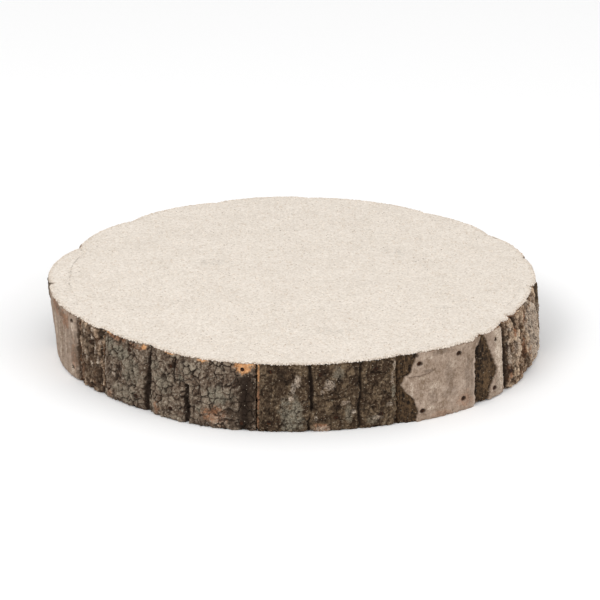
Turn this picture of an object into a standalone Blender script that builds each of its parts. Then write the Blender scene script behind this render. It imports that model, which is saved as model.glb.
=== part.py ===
"""Bark-edged display slice: a round wooden core, strips of bark nailed round its rim, and a thin
coat of pale sand over the top.

Metres, +Z up. The origin is the middle of the flat underside, and the front faces -Y.
Angles run anticlockwise from +X, seen from above.
"""

from math import cos, radians, sin, tau
from typing import NamedTuple

import bmesh
import bpy

MM = 0.001

# Driving dimensions
HEIGHT = 42.0 * MM  # whole slice, table to the top of the sand
CORE_RADIUS = 137.3 * MM
COAT_THICKNESS = 1.2 * MM
GAP = 0.3 * MM  # between two pieces that would touch
CORE_SIDES = 96

COLUMN_STEP = 3.4  # degrees between two columns of points on a bark strip
EDGE_ROUND = 0.7 * MM  # how far a strip's edges fall back at its top, bottom and sides
EDGE_DEPTH = 1.2 * MM  # height of that rounding
COAT_INSET = 0.2 * MM  # the sand stops this far inside the bark's top edge
COAT_BEVEL = 0.4 * MM

SHANK_RADIUS = 0.65 * MM
HEAD_RADIUS = 1.2 * MM
HEAD_THICKNESS = 0.6 * MM
POINT_LENGTH = 1.6 * MM
NAIL_LENGTH = 21.0 * MM
HEAD_SUNK = 1.0 * MM  # the head's top lies this far under the bark's face
BORE_CLEARANCE = 0.3 * MM
NAIL_SIDES = 8

STRIP_TOP = HEIGHT - COAT_THICKNESS - GAP


class Strip(NamedTuple):
    """One piece of bark. Each set of radii is in mm, at its first side, its middle and its last side."""

    start: float  # degrees: where it butts against the strip before it
    top: tuple  # outer radii at the top edge
    foot: tuple  # outer radii at the bottom edge
    belly: float  # mm that its middle height stands out past those
    lift: float  # mm from the table to its bottom edge
    bark: str  # kind of bark, which sets its material
    nails: tuple  # (degrees, mm above the table) of each nail


# Anticlockwise from the far left side, round the front, the right and the back.
STRIPS = (
    Strip(186.0, (150.5, 150, 148), (144.5, 147.8, 148), 0.0, 1.0, "smooth", ((207.6, 37), (207.4, 7.5))),
    Strip(210.0, (147.5, 147, 147), (147.5, 147.5, 147), 0.0, 0.7, "flaky", ((215.2, 30),)),
    Strip(220.2, (145.5, 146, 145.5), (146.5, 147, 147), 1.0, 0.5, "plated", ((229.3, 35), (231.2, 8))),
    Strip(
        235.6,
        (146.5, 150, 149.5),
        (147.5, 151, 152),
        0.5,
        0.4,
        "plated",
        ((241.5, 33), (241.5, 7), (258.6, 37.2), (258.5, 5)),
    ),
    Strip(
        261.6,
        (150, 149, 148.5),
        (151.5, 150, 151),
        0.5,
        0.3,
        "furrowed",
        ((264.7, 36.5), (264.4, 6), (275.6, 34.5), (279.1, 8.3), (288.1, 35.5), (289.2, 8)),
    ),
    Strip(
        293.1,
        (147.5, 150, 152.5),
        (151.5, 153, 153),
        0.0,
        0.0,
        "smooth",
        ((298.5, 34.5), (298.9, 6.2), (308.6, 35.9), (309.8, 7.6)),
    ),
    Strip(313.8, (149.5, 150, 148.8), (151, 153.6, 151.5), 0.0, 0.8, "smooth", ((321.3, 35), (320.0, 6.4))),
    Strip(324.5, (147, 148, 147), (151.2, 153.0, 153.0), 1.0, 0.5, "flaky", ((326.5, 26), (327.5, 10.5))),
    Strip(334.0, (146.5, 146, 146.5), (152.5, 151.4, 151.5), 1.2, 1.6, "flaky", ((338.5, 33), (348, 9))),
    Strip(352.0, (147.5, 148, 147.5), (151, 149.5, 148.5), 0.8, 0.6, "furrowed", ((356.5, 34), (7, 9))),
    Strip(11.8, (147.5, 148, 145), (148, 149, 146), 0.8, 1.4, "plated", ((16, 33), (27, 8))),
    Strip(31.0, (145.5, 147.5, 146), (146.5, 149, 147), 0.6, 0.5, "smooth", ((35.5, 34), (50, 7))),
    Strip(54.5, (147, 150.5, 151), (147.5, 151.5, 151.5), 0.6, 1.0, "plated", ((60, 35), (80, 8))),
    Strip(85.5, (150.5, 152.5, 149.5), (151, 152.5, 150), 0.5, 0.2, "furrowed", ((91, 34), (105, 7))),
    Strip(110.5, (149.5, 151, 148), (150, 151.5, 149), 0.6, 1.6, "flaky", ((115.5, 33), (130, 8))),
    Strip(135.0, (147, 149, 145), (147.5, 150, 146.5), 0.4, 0.6, "smooth", ((140, 35), (154.5, 7.5))),
    Strip(160.0, (145.5, 151, 150.5), (146, 148, 144.5), 0.0, 1.2, "furrowed", ((166, 34), (180.5, 8))),
)

# Base colour and roughness
BARK_LOOKS = {
    "smooth": ((0.32, 0.25, 0.19), 0.85),
    "plated": ((0.14, 0.11, 0.08), 0.95),
    "furrowed": ((0.07, 0.05, 0.035), 0.95),
    "flaky": ((0.20, 0.14, 0.10), 0.95),
}


def material(name, colour, roughness, metallic=0.0):
    """A plain Principled material."""
    made = bpy.data.materials.new(name)
    made.use_nodes = True
    shader = made.node_tree.nodes["Principled BSDF"]
    shader.inputs["Base Color"].default_value = (*colour, 1.0)
    shader.inputs["Roughness"].default_value = roughness
    shader.inputs["Metallic"].default_value = metallic
    return made


def loft(name, rings, inner_count):
    """A closed mesh through stacked rings of equal length, whose first and last rings are capped.

    A ring is an outer run of points and then an inner run back, and the caps are strips of quads
    between the two runs. With inner_count 0, a ring is one outline and each cap is one face.
    """
    bm = bmesh.new()
    levels = [[bm.verts.new(point) for point in ring] for ring in rings]
    count = len(levels[0])
    for low, high in zip(levels, levels[1:]):
        for i in range(count):
            j = (i + 1) % count
            bm.faces.new((low[i], low[j], high[j], high[i]))
    for level in (levels[0], levels[-1]):
        if inner_count:
            for i in range(inner_count - 1):
                bm.faces.new((level[i], level[i + 1], level[count - 2 - i], level[count - 1 - i]))
        else:
            bm.faces.new(level)
    bmesh.ops.recalc_face_normals(bm, faces=bm.faces)
    mesh = bpy.data.meshes.new(name)
    bm.to_mesh(mesh)
    bm.free()
    return mesh


def add_object(name, mesh, look, collection=None):
    """An object for this mesh, shaded smooth except at sharp edges."""
    obj = bpy.data.objects.new(name, mesh)
    (collection or bpy.context.scene.collection).objects.link(obj)
    if look and not mesh.materials:
        mesh.materials.append(look)
    mesh.shade_smooth()
    mesh.set_sharp_from_angle(angle=radians(35))
    return obj


def polar(radius, degrees, z):
    return (radius * cos(radians(degrees)), radius * sin(radians(degrees)), z)


def end_of(index):
    """The angle where a strip meets the next one, always past its own start."""
    start = STRIPS[index].start
    following = STRIPS[(index + 1) % len(STRIPS)].start
    return following if following > start else following + 360.0


def through_three(values, t):
    """The parabola through a value at t=0, one at t=0.5 and one at t=1."""
    first, middle, last = values
    return first * (2 * t - 1) * (t - 1) + middle * 4 * t * (1 - t) + last * t * (2 * t - 1)


def bark_radius(strip, t, height):
    """A strip's outer radius: t runs 0 to 1 across it, and height is above the table."""
    foot = strip.lift * MM
    w = (height - foot) / (STRIP_TOP - foot)
    across = through_three(strip.foot, t) * (1 - w) + through_three(strip.top, t) * w
    side_fall = EDGE_ROUND * abs(2 * t - 1) ** 8
    return (across + strip.belly * 4 * w * (1 - w)) * MM - side_fall


def columns_of(index):
    """(t, angle) of each column of a strip's points, with half a gap left at each side."""
    strip = STRIPS[index]
    half_gap = GAP / CORE_RADIUS * 360.0 / tau
    first = strip.start + half_gap
    last = end_of(index) - half_gap
    count = max(3, round((last - first) / COLUMN_STEP))
    return [(i / count, first + (last - first) * i / count) for i in range(count + 1)]


def add_strip(index, look):
    """A bark strip: its outer face follows bark_radius, and its inner face lies round the core."""
    strip = STRIPS[index]
    columns = columns_of(index)
    foot = strip.lift * MM
    middle = (foot + STRIP_TOP) / 2
    heights = (foot, foot + EDGE_DEPTH, middle, STRIP_TOP - EDGE_DEPTH, STRIP_TOP)
    falls = (EDGE_ROUND, 0.0, 0.0, 0.0, EDGE_ROUND)
    inner_radius = CORE_RADIUS + GAP
    rings = []
    for height, fall in zip(heights, falls):
        outer = [polar(bark_radius(strip, t, height) - fall, angle, height) for t, angle in columns]
        inner = [polar(inner_radius, angle, height) for _, angle in reversed(columns)]
        rings.append(outer + inner)
    name = f"bark_strip_{index + 1:02d}"
    return add_object(name, loft(name, rings, len(columns)), look)


def add_coat(look):
    """The sand: a thin sheet over the core and the strips' tops, just inside the bark's edge."""
    base = STRIP_TOP + GAP
    levels = ((base, 0.0), (HEIGHT - COAT_BEVEL, 0.0), (HEIGHT, COAT_BEVEL))
    rings = []
    for height, inset in levels:
        ring = []
        for index, strip in enumerate(STRIPS):
            for t, angle in columns_of(index):
                edge = bark_radius(strip, t, STRIP_TOP) - EDGE_ROUND
                ring.append(polar(edge - COAT_INSET - inset, angle, height))
        rings.append(ring)
    return add_object("sand_coat", loft("sand_coat", rings, 0), look)


def add_core(look):
    """The core: a plain sawn disc."""
    rings = []
    for height in (0.0, STRIP_TOP):
        rings.append([polar(CORE_RADIUS, 360.0 * i / CORE_SIDES, height) for i in range(CORE_SIDES)])
    return add_object("core_disc", loft("core_disc", rings, 0), look)


def turned(name, profile):
    """A mesh turned about the X axis from (x, radius) points. The first and the last lie on the axis."""
    bm = bmesh.new()
    loops = []
    for x, radius in profile:
        if radius == 0.0:
            loops.append([bm.verts.new((x, 0.0, 0.0))] * NAIL_SIDES)
            continue
        turns = [tau * i / NAIL_SIDES for i in range(NAIL_SIDES)]
        loops.append([bm.verts.new((x, radius * cos(a), radius * sin(a))) for a in turns])
    for low, high in zip(loops, loops[1:]):
        for i in range(NAIL_SIDES):
            j = (i + 1) % NAIL_SIDES
            corners = dict.fromkeys((low[i], low[j], high[j], high[i]))
            bm.faces.new(tuple(corners))
    bmesh.ops.recalc_face_normals(bm, faces=bm.faces)
    mesh = bpy.data.meshes.new(name)
    bm.to_mesh(mesh)
    bm.free()
    return mesh


def nail_mesh():
    """A small round-headed nail along X: its head's top is at 0, and its point reaches inwards."""
    return turned(
        "nail",
        (
            (-NAIL_LENGTH, 0.0),
            (POINT_LENGTH - NAIL_LENGTH, SHANK_RADIUS),
            (-HEAD_THICKNESS, SHANK_RADIUS),
            (-HEAD_THICKNESS, HEAD_RADIUS),
            (0.0, HEAD_RADIUS),
            (0.0, 0.0),
        ),
    )


def bore_mesh():
    """What a nail takes out of the bark and the core: its own shape with clearance, and its way in."""
    shank = SHANK_RADIUS + BORE_CLEARANCE
    head = HEAD_RADIUS + BORE_CLEARANCE
    seat = -HEAD_THICKNESS - BORE_CLEARANCE
    mouth = HEAD_SUNK + 3 * MM
    end = -NAIL_LENGTH - BORE_CLEARANCE
    return turned("bore", ((end, 0.0), (end, shank), (seat, shank), (seat, head), (mouth, head), (mouth, 0.0)))


def add_nails(index, nail, bore, steel):
    """A strip's nails, and a collection with the cutters for their bores."""
    strip = STRIPS[index]
    cutters = bpy.data.collections.new(f"bores_{index + 1:02d}")
    width = end_of(index) - strip.start
    for letter, (angle, height_mm) in zip("abcdef", strip.nails):
        t = ((angle - strip.start) % 360.0) / width
        place = polar(bark_radius(strip, t, height_mm * MM) - HEAD_SUNK, angle, height_mm * MM)
        driven = add_object(f"nail_{index + 1:02d}{letter}", nail, steel)
        cutter = add_object(f"bore_{index + 1:02d}{letter}", bore, None, cutters)
        cutter.hide_render = True
        cutter.display_type = "WIRE"
        for obj in (driven, cutter):
            obj.location = place
            obj.rotation_euler.z = radians(angle)
    return cutters


def cut(obj, cutters):
    """Takes a collection of cutters out of an object."""
    boolean = obj.modifiers.new("bores", "BOOLEAN")
    boolean.operation = "DIFFERENCE"
    boolean.operand_type = "COLLECTION"
    boolean.collection = cutters
    boolean.solver = "EXACT"


def main():
    for obj in list(bpy.data.objects):
        bpy.data.objects.remove(obj, do_unlink=True)
    barks = {kind: material(f"bark_{kind}", *look) for kind, look in BARK_LOOKS.items()}
    steel = material("nail_steel", (0.10, 0.09, 0.08), 0.5, metallic=1.0)
    core = add_core(material("core_wood", (0.78, 0.60, 0.40), 0.8))
    add_coat(material("sand_coat", (0.79, 0.71, 0.62), 0.95))

    bores = bpy.data.collections.new("bores")
    bpy.context.scene.collection.children.link(bores)
    nail = nail_mesh()
    bore = bore_mesh()
    for index, strip in enumerate(STRIPS):
        cutters = add_nails(index, nail, bore, steel)
        bores.children.link(cutters)
        cut(add_strip(index, barks[strip.bark]), cutters)
    cut(core, bores)


main()
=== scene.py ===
# %% [markdown]
# # A wood slice with a bark edge
# A display slice is put together from four kinds of piece: a sawn wooden core, strips of bark nailed
# round its rim, the nails, and a coat of pale sand set in glue over the whole top. The frame holds
# them at their real size. This script gives each one its finished surface.

import math
from typing import NamedTuple

import bpy
import numpy as np
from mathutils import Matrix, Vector
from mathutils.bvhtree import BVHTree


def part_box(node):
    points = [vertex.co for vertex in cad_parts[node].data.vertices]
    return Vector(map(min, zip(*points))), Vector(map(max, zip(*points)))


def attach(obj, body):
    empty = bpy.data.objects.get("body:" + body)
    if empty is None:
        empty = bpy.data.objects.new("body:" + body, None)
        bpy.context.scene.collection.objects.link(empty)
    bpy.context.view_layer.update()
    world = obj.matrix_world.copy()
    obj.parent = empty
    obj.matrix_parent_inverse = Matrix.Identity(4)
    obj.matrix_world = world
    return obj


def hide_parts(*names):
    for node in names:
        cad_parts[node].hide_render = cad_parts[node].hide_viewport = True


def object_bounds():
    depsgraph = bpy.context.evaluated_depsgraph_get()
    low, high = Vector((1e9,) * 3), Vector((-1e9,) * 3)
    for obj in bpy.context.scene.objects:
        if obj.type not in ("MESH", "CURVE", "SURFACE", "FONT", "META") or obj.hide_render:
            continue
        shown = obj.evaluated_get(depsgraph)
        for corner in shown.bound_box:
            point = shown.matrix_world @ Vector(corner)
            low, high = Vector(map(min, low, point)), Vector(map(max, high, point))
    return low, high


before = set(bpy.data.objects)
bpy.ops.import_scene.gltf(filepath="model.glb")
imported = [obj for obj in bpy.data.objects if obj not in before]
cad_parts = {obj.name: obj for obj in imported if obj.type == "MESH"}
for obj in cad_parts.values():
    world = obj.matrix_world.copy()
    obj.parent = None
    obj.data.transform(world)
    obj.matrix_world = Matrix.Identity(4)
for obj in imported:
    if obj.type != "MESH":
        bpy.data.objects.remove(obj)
cad_box = [list(corner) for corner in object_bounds()]
MM = 0.001
print("frame box, mm:", [[round(x / MM, 1) for x in corner] for corner in cad_box])

# %% [markdown]
# ## Working with nodes
# Bark relief, sand and every finish are made by node trees, which read best as sums. A `Wire` stands
# for one value that runs through a tree, and arithmetic on it adds the Math nodes.


# %% Wires
class Wire:
    """A number that runs through a node tree. Arithmetic on it adds Math nodes."""

    def __init__(self, tree, socket):
        self.tree = tree
        self.socket = socket

    def math(self, operation, *others):
        return out(self.tree, "ShaderNodeMath", (self, *others), operation=operation)

    def __add__(self, other):
        return self.math("ADD", other)

    def __sub__(self, other):
        return self.math("SUBTRACT", other)

    def __mul__(self, other):
        return self.math("MULTIPLY", other)

    def __truediv__(self, other):
        return self.math("DIVIDE", other)

    def __rsub__(self, other):
        return self.math("MULTIPLY", -1.0) + other

    __radd__ = __add__
    __rmul__ = __mul__

    def between(self, low, high, soft=True):
        """0 below low and 1 above high, with a smooth or straight rise."""
        kind = "SMOOTHSTEP" if soft else "LINEAR"
        return out(self.tree, "ShaderNodeMapRange", (self, low, high), interpolation_type=kind)


# %% Adding nodes
def plug(tree, socket, value):
    """Gives a socket a wire or a plain value."""
    if isinstance(value, Wire):
        tree.links.new(value.socket, socket)
    else:
        socket.default_value = value


def add(tree, kind, inputs=(), **settings):
    """A new node, with its settings and with its inputs in order or by name."""
    made = tree.nodes.new(kind)
    for name, value in settings.items():
        setattr(made, name, value)
    pairs = inputs.items() if isinstance(inputs, dict) else enumerate(inputs)
    for key, value in pairs:
        plug(tree, made.inputs[key], value)
    return made


def out(tree, kind, inputs=(), output=0, **settings):
    """The same, as a wire from one output of the new node."""
    return Wire(tree, add(tree, kind, inputs, **settings).outputs[output])


# %% Places and patterns
def point(tree, x=0.0, y=0.0, z=0.0):
    return out(tree, "ShaderNodeCombineXYZ", (x, y, z))


def parts(tree, vector):
    """A vector's x, y and z, as three wires."""
    return [Wire(tree, socket) for socket in add(tree, "ShaderNodeSeparateXYZ", (vector,)).outputs]


def vector_math(tree, operation, *vectors):
    return out(tree, "ShaderNodeVectorMath", vectors, operation=operation)


def scaled(tree, vector, times):
    return out(tree, "ShaderNodeVectorMath", {"Vector": vector, "Scale": times}, operation="SCALE")


def length_of(tree, vector):
    return out(tree, "ShaderNodeVectorMath", (vector,), output=1, operation="LENGTH")


def flattened(tree, vector):
    """The vector with its height taken out."""
    return vector_math(tree, "MULTIPLY", vector, (1.0, 1.0, 0.0))


def noise(tree, place, scale, detail=3.0, rough=0.55):
    """Cloudy noise from 0 to 1 at a place; scale is in cycles for each unit of the place."""
    inputs = {"Vector": place, "Scale": scale, "Detail": detail, "Roughness": rough}
    return out(tree, "ShaderNodeTexNoise", inputs)


DISTANCE, COLOUR, CENTRE = 0, 1, 2  # the cells node's outputs


def cells(tree, place, output, feature="F1", jitter=1.0):
    """Voronoi cells a unit across: an output of the cell that a place is in."""
    inputs = {"Vector": place, "Scale": 1.0, "Randomness": jitter}
    return out(tree, "ShaderNodeTexVoronoi", inputs, output, feature=feature)


# %% [markdown]
# ## Camera, floor and light
# The slice is seen from 20 degrees above the table through a long lens, so its round top draws as a
# clean flat ellipse. A pale floor and large soft lamps keep the shadows faint, as in a catalogue.

# %% Camera
SCENE = bpy.context.scene
VIEW_TILT = math.radians(19.93)
CAMERA_DISTANCE = 1.764
AIM = Vector((0.0033, -0.0044, cad_box[1][2]))
AIM_DROP = 0.0148
LENS = 173.8


def set_camera():
    """A long lens at the front, tilted down. The aim drops a little, which lifts the slice in the frame."""
    forward = Vector((0.0, math.cos(VIEW_TILT), -math.sin(VIEW_TILT)))
    up = Vector((0.0, math.sin(VIEW_TILT), math.cos(VIEW_TILT)))
    eye = Vector((0.0, AIM.y, AIM.z)) - forward * CAMERA_DISTANCE
    aim = AIM - up * AIM_DROP
    data = bpy.data.cameras.new("camera")
    data.lens = LENS
    data.sensor_width = 36.0
    data.clip_start = 0.05
    camera = bpy.data.objects.new("camera", data)
    camera.location = eye
    camera.rotation_euler = (aim - eye).to_track_quat("-Z", "Y").to_euler()
    SCENE.collection.objects.link(camera)
    SCENE.camera = camera


set_camera()
SCENE.view_settings.view_transform = "Standard"
print("camera: %.1f degrees up, %.2f m away" % (math.degrees(VIEW_TILT), CAMERA_DISTANCE))

# %% Floor
FLOOR_HALF = 3.0
FLOOR_GREY = 0.97


def new_finish(name):
    """A new material, with its tree and its shader."""
    made = bpy.data.materials.new(name)
    made.use_nodes = True
    return made, made.node_tree, made.node_tree.nodes["Principled BSDF"]


def dress(tree, shader, colour, roughness, shine=0.5):
    """Gives the shader its colour, roughness and shine, each a wire or a plain value."""
    plug(tree, shader.inputs["Base Color"], colour)
    plug(tree, shader.inputs["Roughness"], roughness)
    plug(tree, shader.inputs["Specular IOR Level"], shine)


def add_floor():
    mesh = bpy.data.meshes.new("floor")
    corners = [(x * FLOOR_HALF, y * FLOOR_HALF, 0) for x, y in ((-1, -1), (1, -1), (1, 1), (-1, 1))]
    mesh.from_pydata(corners, [], [(0, 1, 2, 3)])
    white, tree, shader = new_finish("floor_paint")
    dress(tree, shader, (FLOOR_GREY, FLOOR_GREY, FLOOR_GREY, 1.0), 0.9)
    mesh.materials.append(white)
    floor = bpy.data.objects.new("floor", mesh)
    SCENE.collection.objects.link(floor)


add_floor()
print("floor:", FLOOR_HALF * 2, "m square")

# %% Light
LAMPS = {  # place, size in metres, power in watts
    "key": ((-0.9, -1.1, 1.5), 0.9, 13.2),
    "fill": ((1.4, -0.9, 0.9), 1.1, 6.4),
}
LAMP_AIM = Vector((0, 0, 0.02))
SKY_STRENGTH = 0.85


def add_lamp(name, place, size, power):
    """A square soft box that looks at the slice."""
    data = bpy.data.lights.new(name, "AREA")
    data.shape = "SQUARE"
    data.size = size
    data.energy = power
    lamp = bpy.data.objects.new(name, data)
    lamp.location = place
    lamp.rotation_euler = (LAMP_AIM - Vector(place)).to_track_quat("-Z", "Y").to_euler()
    SCENE.collection.objects.link(lamp)


def add_sky():
    """Even white light from all round."""
    world = bpy.data.worlds.new("studio")
    world.use_nodes = True
    background = world.node_tree.nodes["Background"]
    background.inputs["Color"].default_value = (1.0, 1.0, 1.0, 1.0)
    background.inputs["Strength"].default_value = SKY_STRENGTH
    SCENE.world = world


for name, (place, size, power) in LAMPS.items():
    add_lamp(name, place, size, power)
add_sky()
print("lamps:", sorted(LAMPS))

# %% [markdown]
# ## Measuring the bark strips
# The frame holds each strip of bark as a plain block. Its angles and heights come from its corners,
# and the radius of its outer face from rays that fly in towards the middle of the slice. Each ray
# has a neighbour on both sides, so that one that falls down a nail's bore doesn't count.


# %% Read a strip from the frame
class Block(NamedTuple):
    """A strip as the frame has it. Angles are in degrees, anticlockwise from +X; lengths are in mm."""

    start: float
    end: float
    foot: float
    top: float
    inner: float
    radii: np.ndarray  # rows from the foot up, columns from start to end


RAY_START = 0.2
RAY_COLUMNS, RAY_ROWS = 25, 13
RAY_MARGIN = 1.8  # mm: the block's own rounded edges are left out
RAY_ANGLE_MARGIN = 0.9  # degrees, for the same reason
RAY_SIDES = (-0.85, 0, 0.85)  # degrees: each ray and its two neighbours


def target(mesh):
    """A mesh in the form that rays can be cast at."""
    return BVHTree.FromPolygons([v.co for v in mesh.vertices], [p.vertices for p in mesh.polygons])


def half_turn(degrees):
    """The same turn, from -180 to 180 degrees."""
    return (degrees + 180) % 360 - 180


def cast(tree, angle, height):
    """The radius, in mm, where a ray towards the axis meets the block."""
    towards = Vector((-math.cos(math.radians(angle)), -math.sin(math.radians(angle)), 0.0))
    start = -towards * RAY_START + Vector((0, 0, height * MM))
    hit = tree.ray_cast(start, towards)[0]
    return 0.0 if hit is None else math.hypot(hit.x, hit.y) / MM


def measure(name):
    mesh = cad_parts[name].data
    tree = target(mesh)
    corners = np.array([v.co for v in mesh.vertices]) / MM
    middle = math.degrees(math.atan2(corners[:, 1].mean(), corners[:, 0].mean()))
    around = half_turn(np.degrees(np.arctan2(corners[:, 1], corners[:, 0])) - middle)
    start, end = middle + around.min(), middle + around.max()
    foot, top = corners[:, 2].min(), corners[:, 2].max()
    angles = np.linspace(start + RAY_ANGLE_MARGIN, end - RAY_ANGLE_MARGIN, RAY_COLUMNS)
    heights = np.linspace(foot + RAY_MARGIN, top - RAY_MARGIN, RAY_ROWS)
    radii = [[max(cast(tree, a + s, h) for s in RAY_SIDES) for a in angles] for h in heights]
    inner = float(np.hypot(corners[:, 0], corners[:, 1]).min())
    return Block(start, end, foot, top, inner, np.array(radii))


def smoothed(grid, times=4):
    """The grid with the frame's flat facets blurred out from row to row and column to column."""
    for _ in range(times):
        padded = np.pad(grid, 1, mode="reflect", reflect_type="odd")
        grid = (padded[:-2, 1:-1] + 2 * padded[1:-1, 1:-1] + padded[2:, 1:-1]) / 4
        padded = np.pad(grid, 1, mode="reflect", reflect_type="odd")
        grid = (padded[1:-1, :-2] + 2 * padded[1:-1, 1:-1] + padded[1:-1, 2:]) / 4
    return grid


def radius_at(block, across, up):
    """The outer radius at shares 0 to 1 of a strip's width and height, read between the rays."""
    x = np.clip(across, 0, 1) * (RAY_COLUMNS - 1)
    y = np.clip(up, 0, 1) * (RAY_ROWS - 1)
    i = np.minimum(x.astype(int), RAY_COLUMNS - 2)
    j = np.minimum(y.astype(int), RAY_ROWS - 2)
    fx, fy = x - i, y - j
    grid = block.radii
    low_row = grid[j, i] * (1 - fx) + grid[j, i + 1] * fx
    high_row = grid[j + 1, i] * (1 - fx) + grid[j + 1, i + 1] * fx
    return low_row * (1 - fy) + high_row * fy


STRIP_NAMES = sorted(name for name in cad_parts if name.startswith("bark_strip"))
blocks = {}
for name in STRIP_NAMES:
    raw = measure(name)
    blocks[name] = raw._replace(radii=smoothed(raw.radii))
    print(name, "from %.1f to %.1f degrees, radius %.1f mm" % (raw.start, raw.end, raw.radii.mean()))


# %% Read the nails
class Nail(NamedTuple):
    angle: float
    height: float
    radius: float  # of the top of its head, mm


HEAD_TOP = 0.2  # mm: what lies this near a nail's outermost point is the top of its head


def nails_of(strip):
    """The nails that go through a strip, which share its number."""
    found = []
    for name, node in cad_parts.items():
        if name.startswith("nail_" + strip[-2:]):
            points = np.array([v.co for v in node.data.vertices]) / MM
            reach = np.hypot(points[:, 0], points[:, 1])
            head = points[reach > reach.max() - HEAD_TOP].mean(axis=0)
            angle = math.degrees(math.atan2(head[1], head[0]))
            found.append(Nail(angle, head[2], math.hypot(head[0], head[1])))
    return found


# %% [markdown]
# ## What each strip of bark shows
# Every strip came off another stretch of bark, so each has its own list. A `Patch` is a soft-edged
# blot, such as lichen, bare inner bark or a dark mark; a pit is also sunk, and a flake stands proud.
# The dark marks are partly stains on the bark and partly painted shade: along the seams between
# strips, in the groove at the left edge of strip 8, just under the sand's edge and in the nail holes.
# A `Groove` is a furrow that runs up the strip and a `Split` a thin crack along a line of points.
# `peel` says where the smooth outer bark has come away from the dark fibres under it. The strips at
# the back are laid out in the same manner.


# %% Marks on the bark
class Patch(NamedTuple):
    kind: str
    angle: float  # of its middle, in degrees
    height: float  # of its middle, in mm
    wide: float  # mm, half its width
    tall: float  # mm, half its height
    strength: float = 1.0


class Groove(NamedTuple):
    angle: float
    low: float  # mm, where it starts
    high: float  # mm, where it ends
    wide: float  # mm
    deep: float  # mm
    lean: float = 0.0  # mm that it drifts sideways over its height


class Split(NamedTuple):
    points: tuple  # (angle, height) along it
    wide: float = 0.5  # mm
    deep: float = 1.0  # mm


class Look(NamedTuple):
    bark: str
    patches: tuple = ()
    grooves: tuple = ()
    splits: tuple = ()
    peel: tuple = ()  # (height, first angle, last angle) from the foot up


PATCH_KINDS = ("moss", "bare", "stain", "rust", "flake", "pit")

# %% Strips 1 to 4, at the front left
# Of the dark patches, the tall narrow ones at a strip's side edges and the flat ones just under its top are
# painted shade of the seams and of the sand's edge; the rest are stains on the bark.
LOOKS = {}
LOOKS["bark_strip_01"] = Look(
    "smooth",
    (
        Patch("stain", 198, 20, 34, 30, 0.16),
        Patch("rust", 197, 37, 9, 4, 0.7),
        Patch("rust", 203.5, 35.0, 7, 6, 0.75),
        Patch("stain", 199, 38.0, 12, 3.0, 0.5),
        Patch("rust", 208.0, 15, 3.4, 12, 0.5),
        Patch("stain", 207.0, 21, 4.0, 3, 0.45),
        Patch("stain", 205.4, 28, 3.0, 4, 0.3),
        Patch("stain", 207.4, 17, 3.6, 12, 0.4),
        Patch("stain", 200.0, 37, 7, 3.4, 0.4),
        Patch("stain", 209.0, 20, 1.3, 20, 0.5),
        Patch("stain", 207.0, 27, 1.4, 7, 0.35),
        Patch("stain", 202.0, 15, 1.2, 13, 0.38),
        Patch("stain", 196.8, 12, 1.2, 12, 0.4),
        Patch("flake", 199.4, 17, 1.9, 12, 0.75),
        Patch("flake", 194.8, 22, 2.0, 12, 0.6),
        Patch("flake", 203.6, 22, 1.0, 8, 0.5),
        Patch("stain", 187, 30, 1.6, 14, 0.6),
        Patch("flake", 207.8, 33.8, 1.5, 3.4, 1.0),
        Patch("flake", 207.2, 5.6, 2.4, 2.2, 1.0),
        Patch("flake", 202.0, 26, 1.1, 7, 0.6),
        Patch("stain", 209.7, 20, 1.0, 22, 0.9),
    ),
    (Groove(195.5, 0, 38, 2.6, 0.6), Groove(201.5, 3, 34, 2.2, 0.5, 1.0), Groove(209.6, 0, 41, 0.9, 1.6)),
    (Split(((199, 12), (200, 20), (199.4, 27)), 0.3, 0.35), Split(((204.5, 14), (205.0, 26)), 0.3, 0.35)),
)
LOOKS["bark_strip_02"] = Look(
    "flaky",
    (
        Patch("pit", 218.8, 38.0, 3.0, 4.0),
        Patch("pit", 214.6, 37.5, 1.2, 3.0),
        Patch("pit", 216.2, 24.0, 1.4, 4.0, 0.9),
        Patch("pit", 219.3, 27.0, 1.5, 6.5, 1.0),
        Patch("pit", 213.4, 30.0, 0.9, 2.6, 0.8),
        Patch("flake", 216.0, 39, 1.2, 2.6),
        Patch("flake", 215.6, 33.0, 2.2, 1.4),
        Patch("flake", 218.8, 33.5, 1.3, 2.4),
        Patch("flake", 216.9, 27.5, 1.0, 3.6),
        Patch("flake", 218.0, 20.5, 1.0, 4.2),
        Patch("flake", 215.8, 16.5, 1.4, 2.0),
        Patch("flake", 213.2, 20.0, 0.8, 4.0, 0.6),
        Patch("flake", 212.9, 35.0, 0.9, 2.2, 0.6),
        Patch("flake", 211.2, 24, 0.8, 8.0, 0.5),
        Patch("stain", 212.6, 35, 3.4, 6, 0.85),
        Patch("stain", 214.6, 20, 12, 24, 0.68),
        Patch("rust", 211.8, 8, 2.2, 6, 0.5),
        Patch("stain", 218.2, 9, 3.0, 10, 0.85),
    ),
    (Groove(213.8, 10, 30, 0.9, 1.3), Groove(219.2, 0, 20, 1.3, 1.8), Groove(211.0, 20, 40, 0.7, 1.2)),
    (Split(((216.2, 31), (217.0, 25), (218.6, 18)), 0.6, 1.2), Split(((212.8, 20), (213.4, 8)), 0.5, 0.9)),
)
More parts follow.
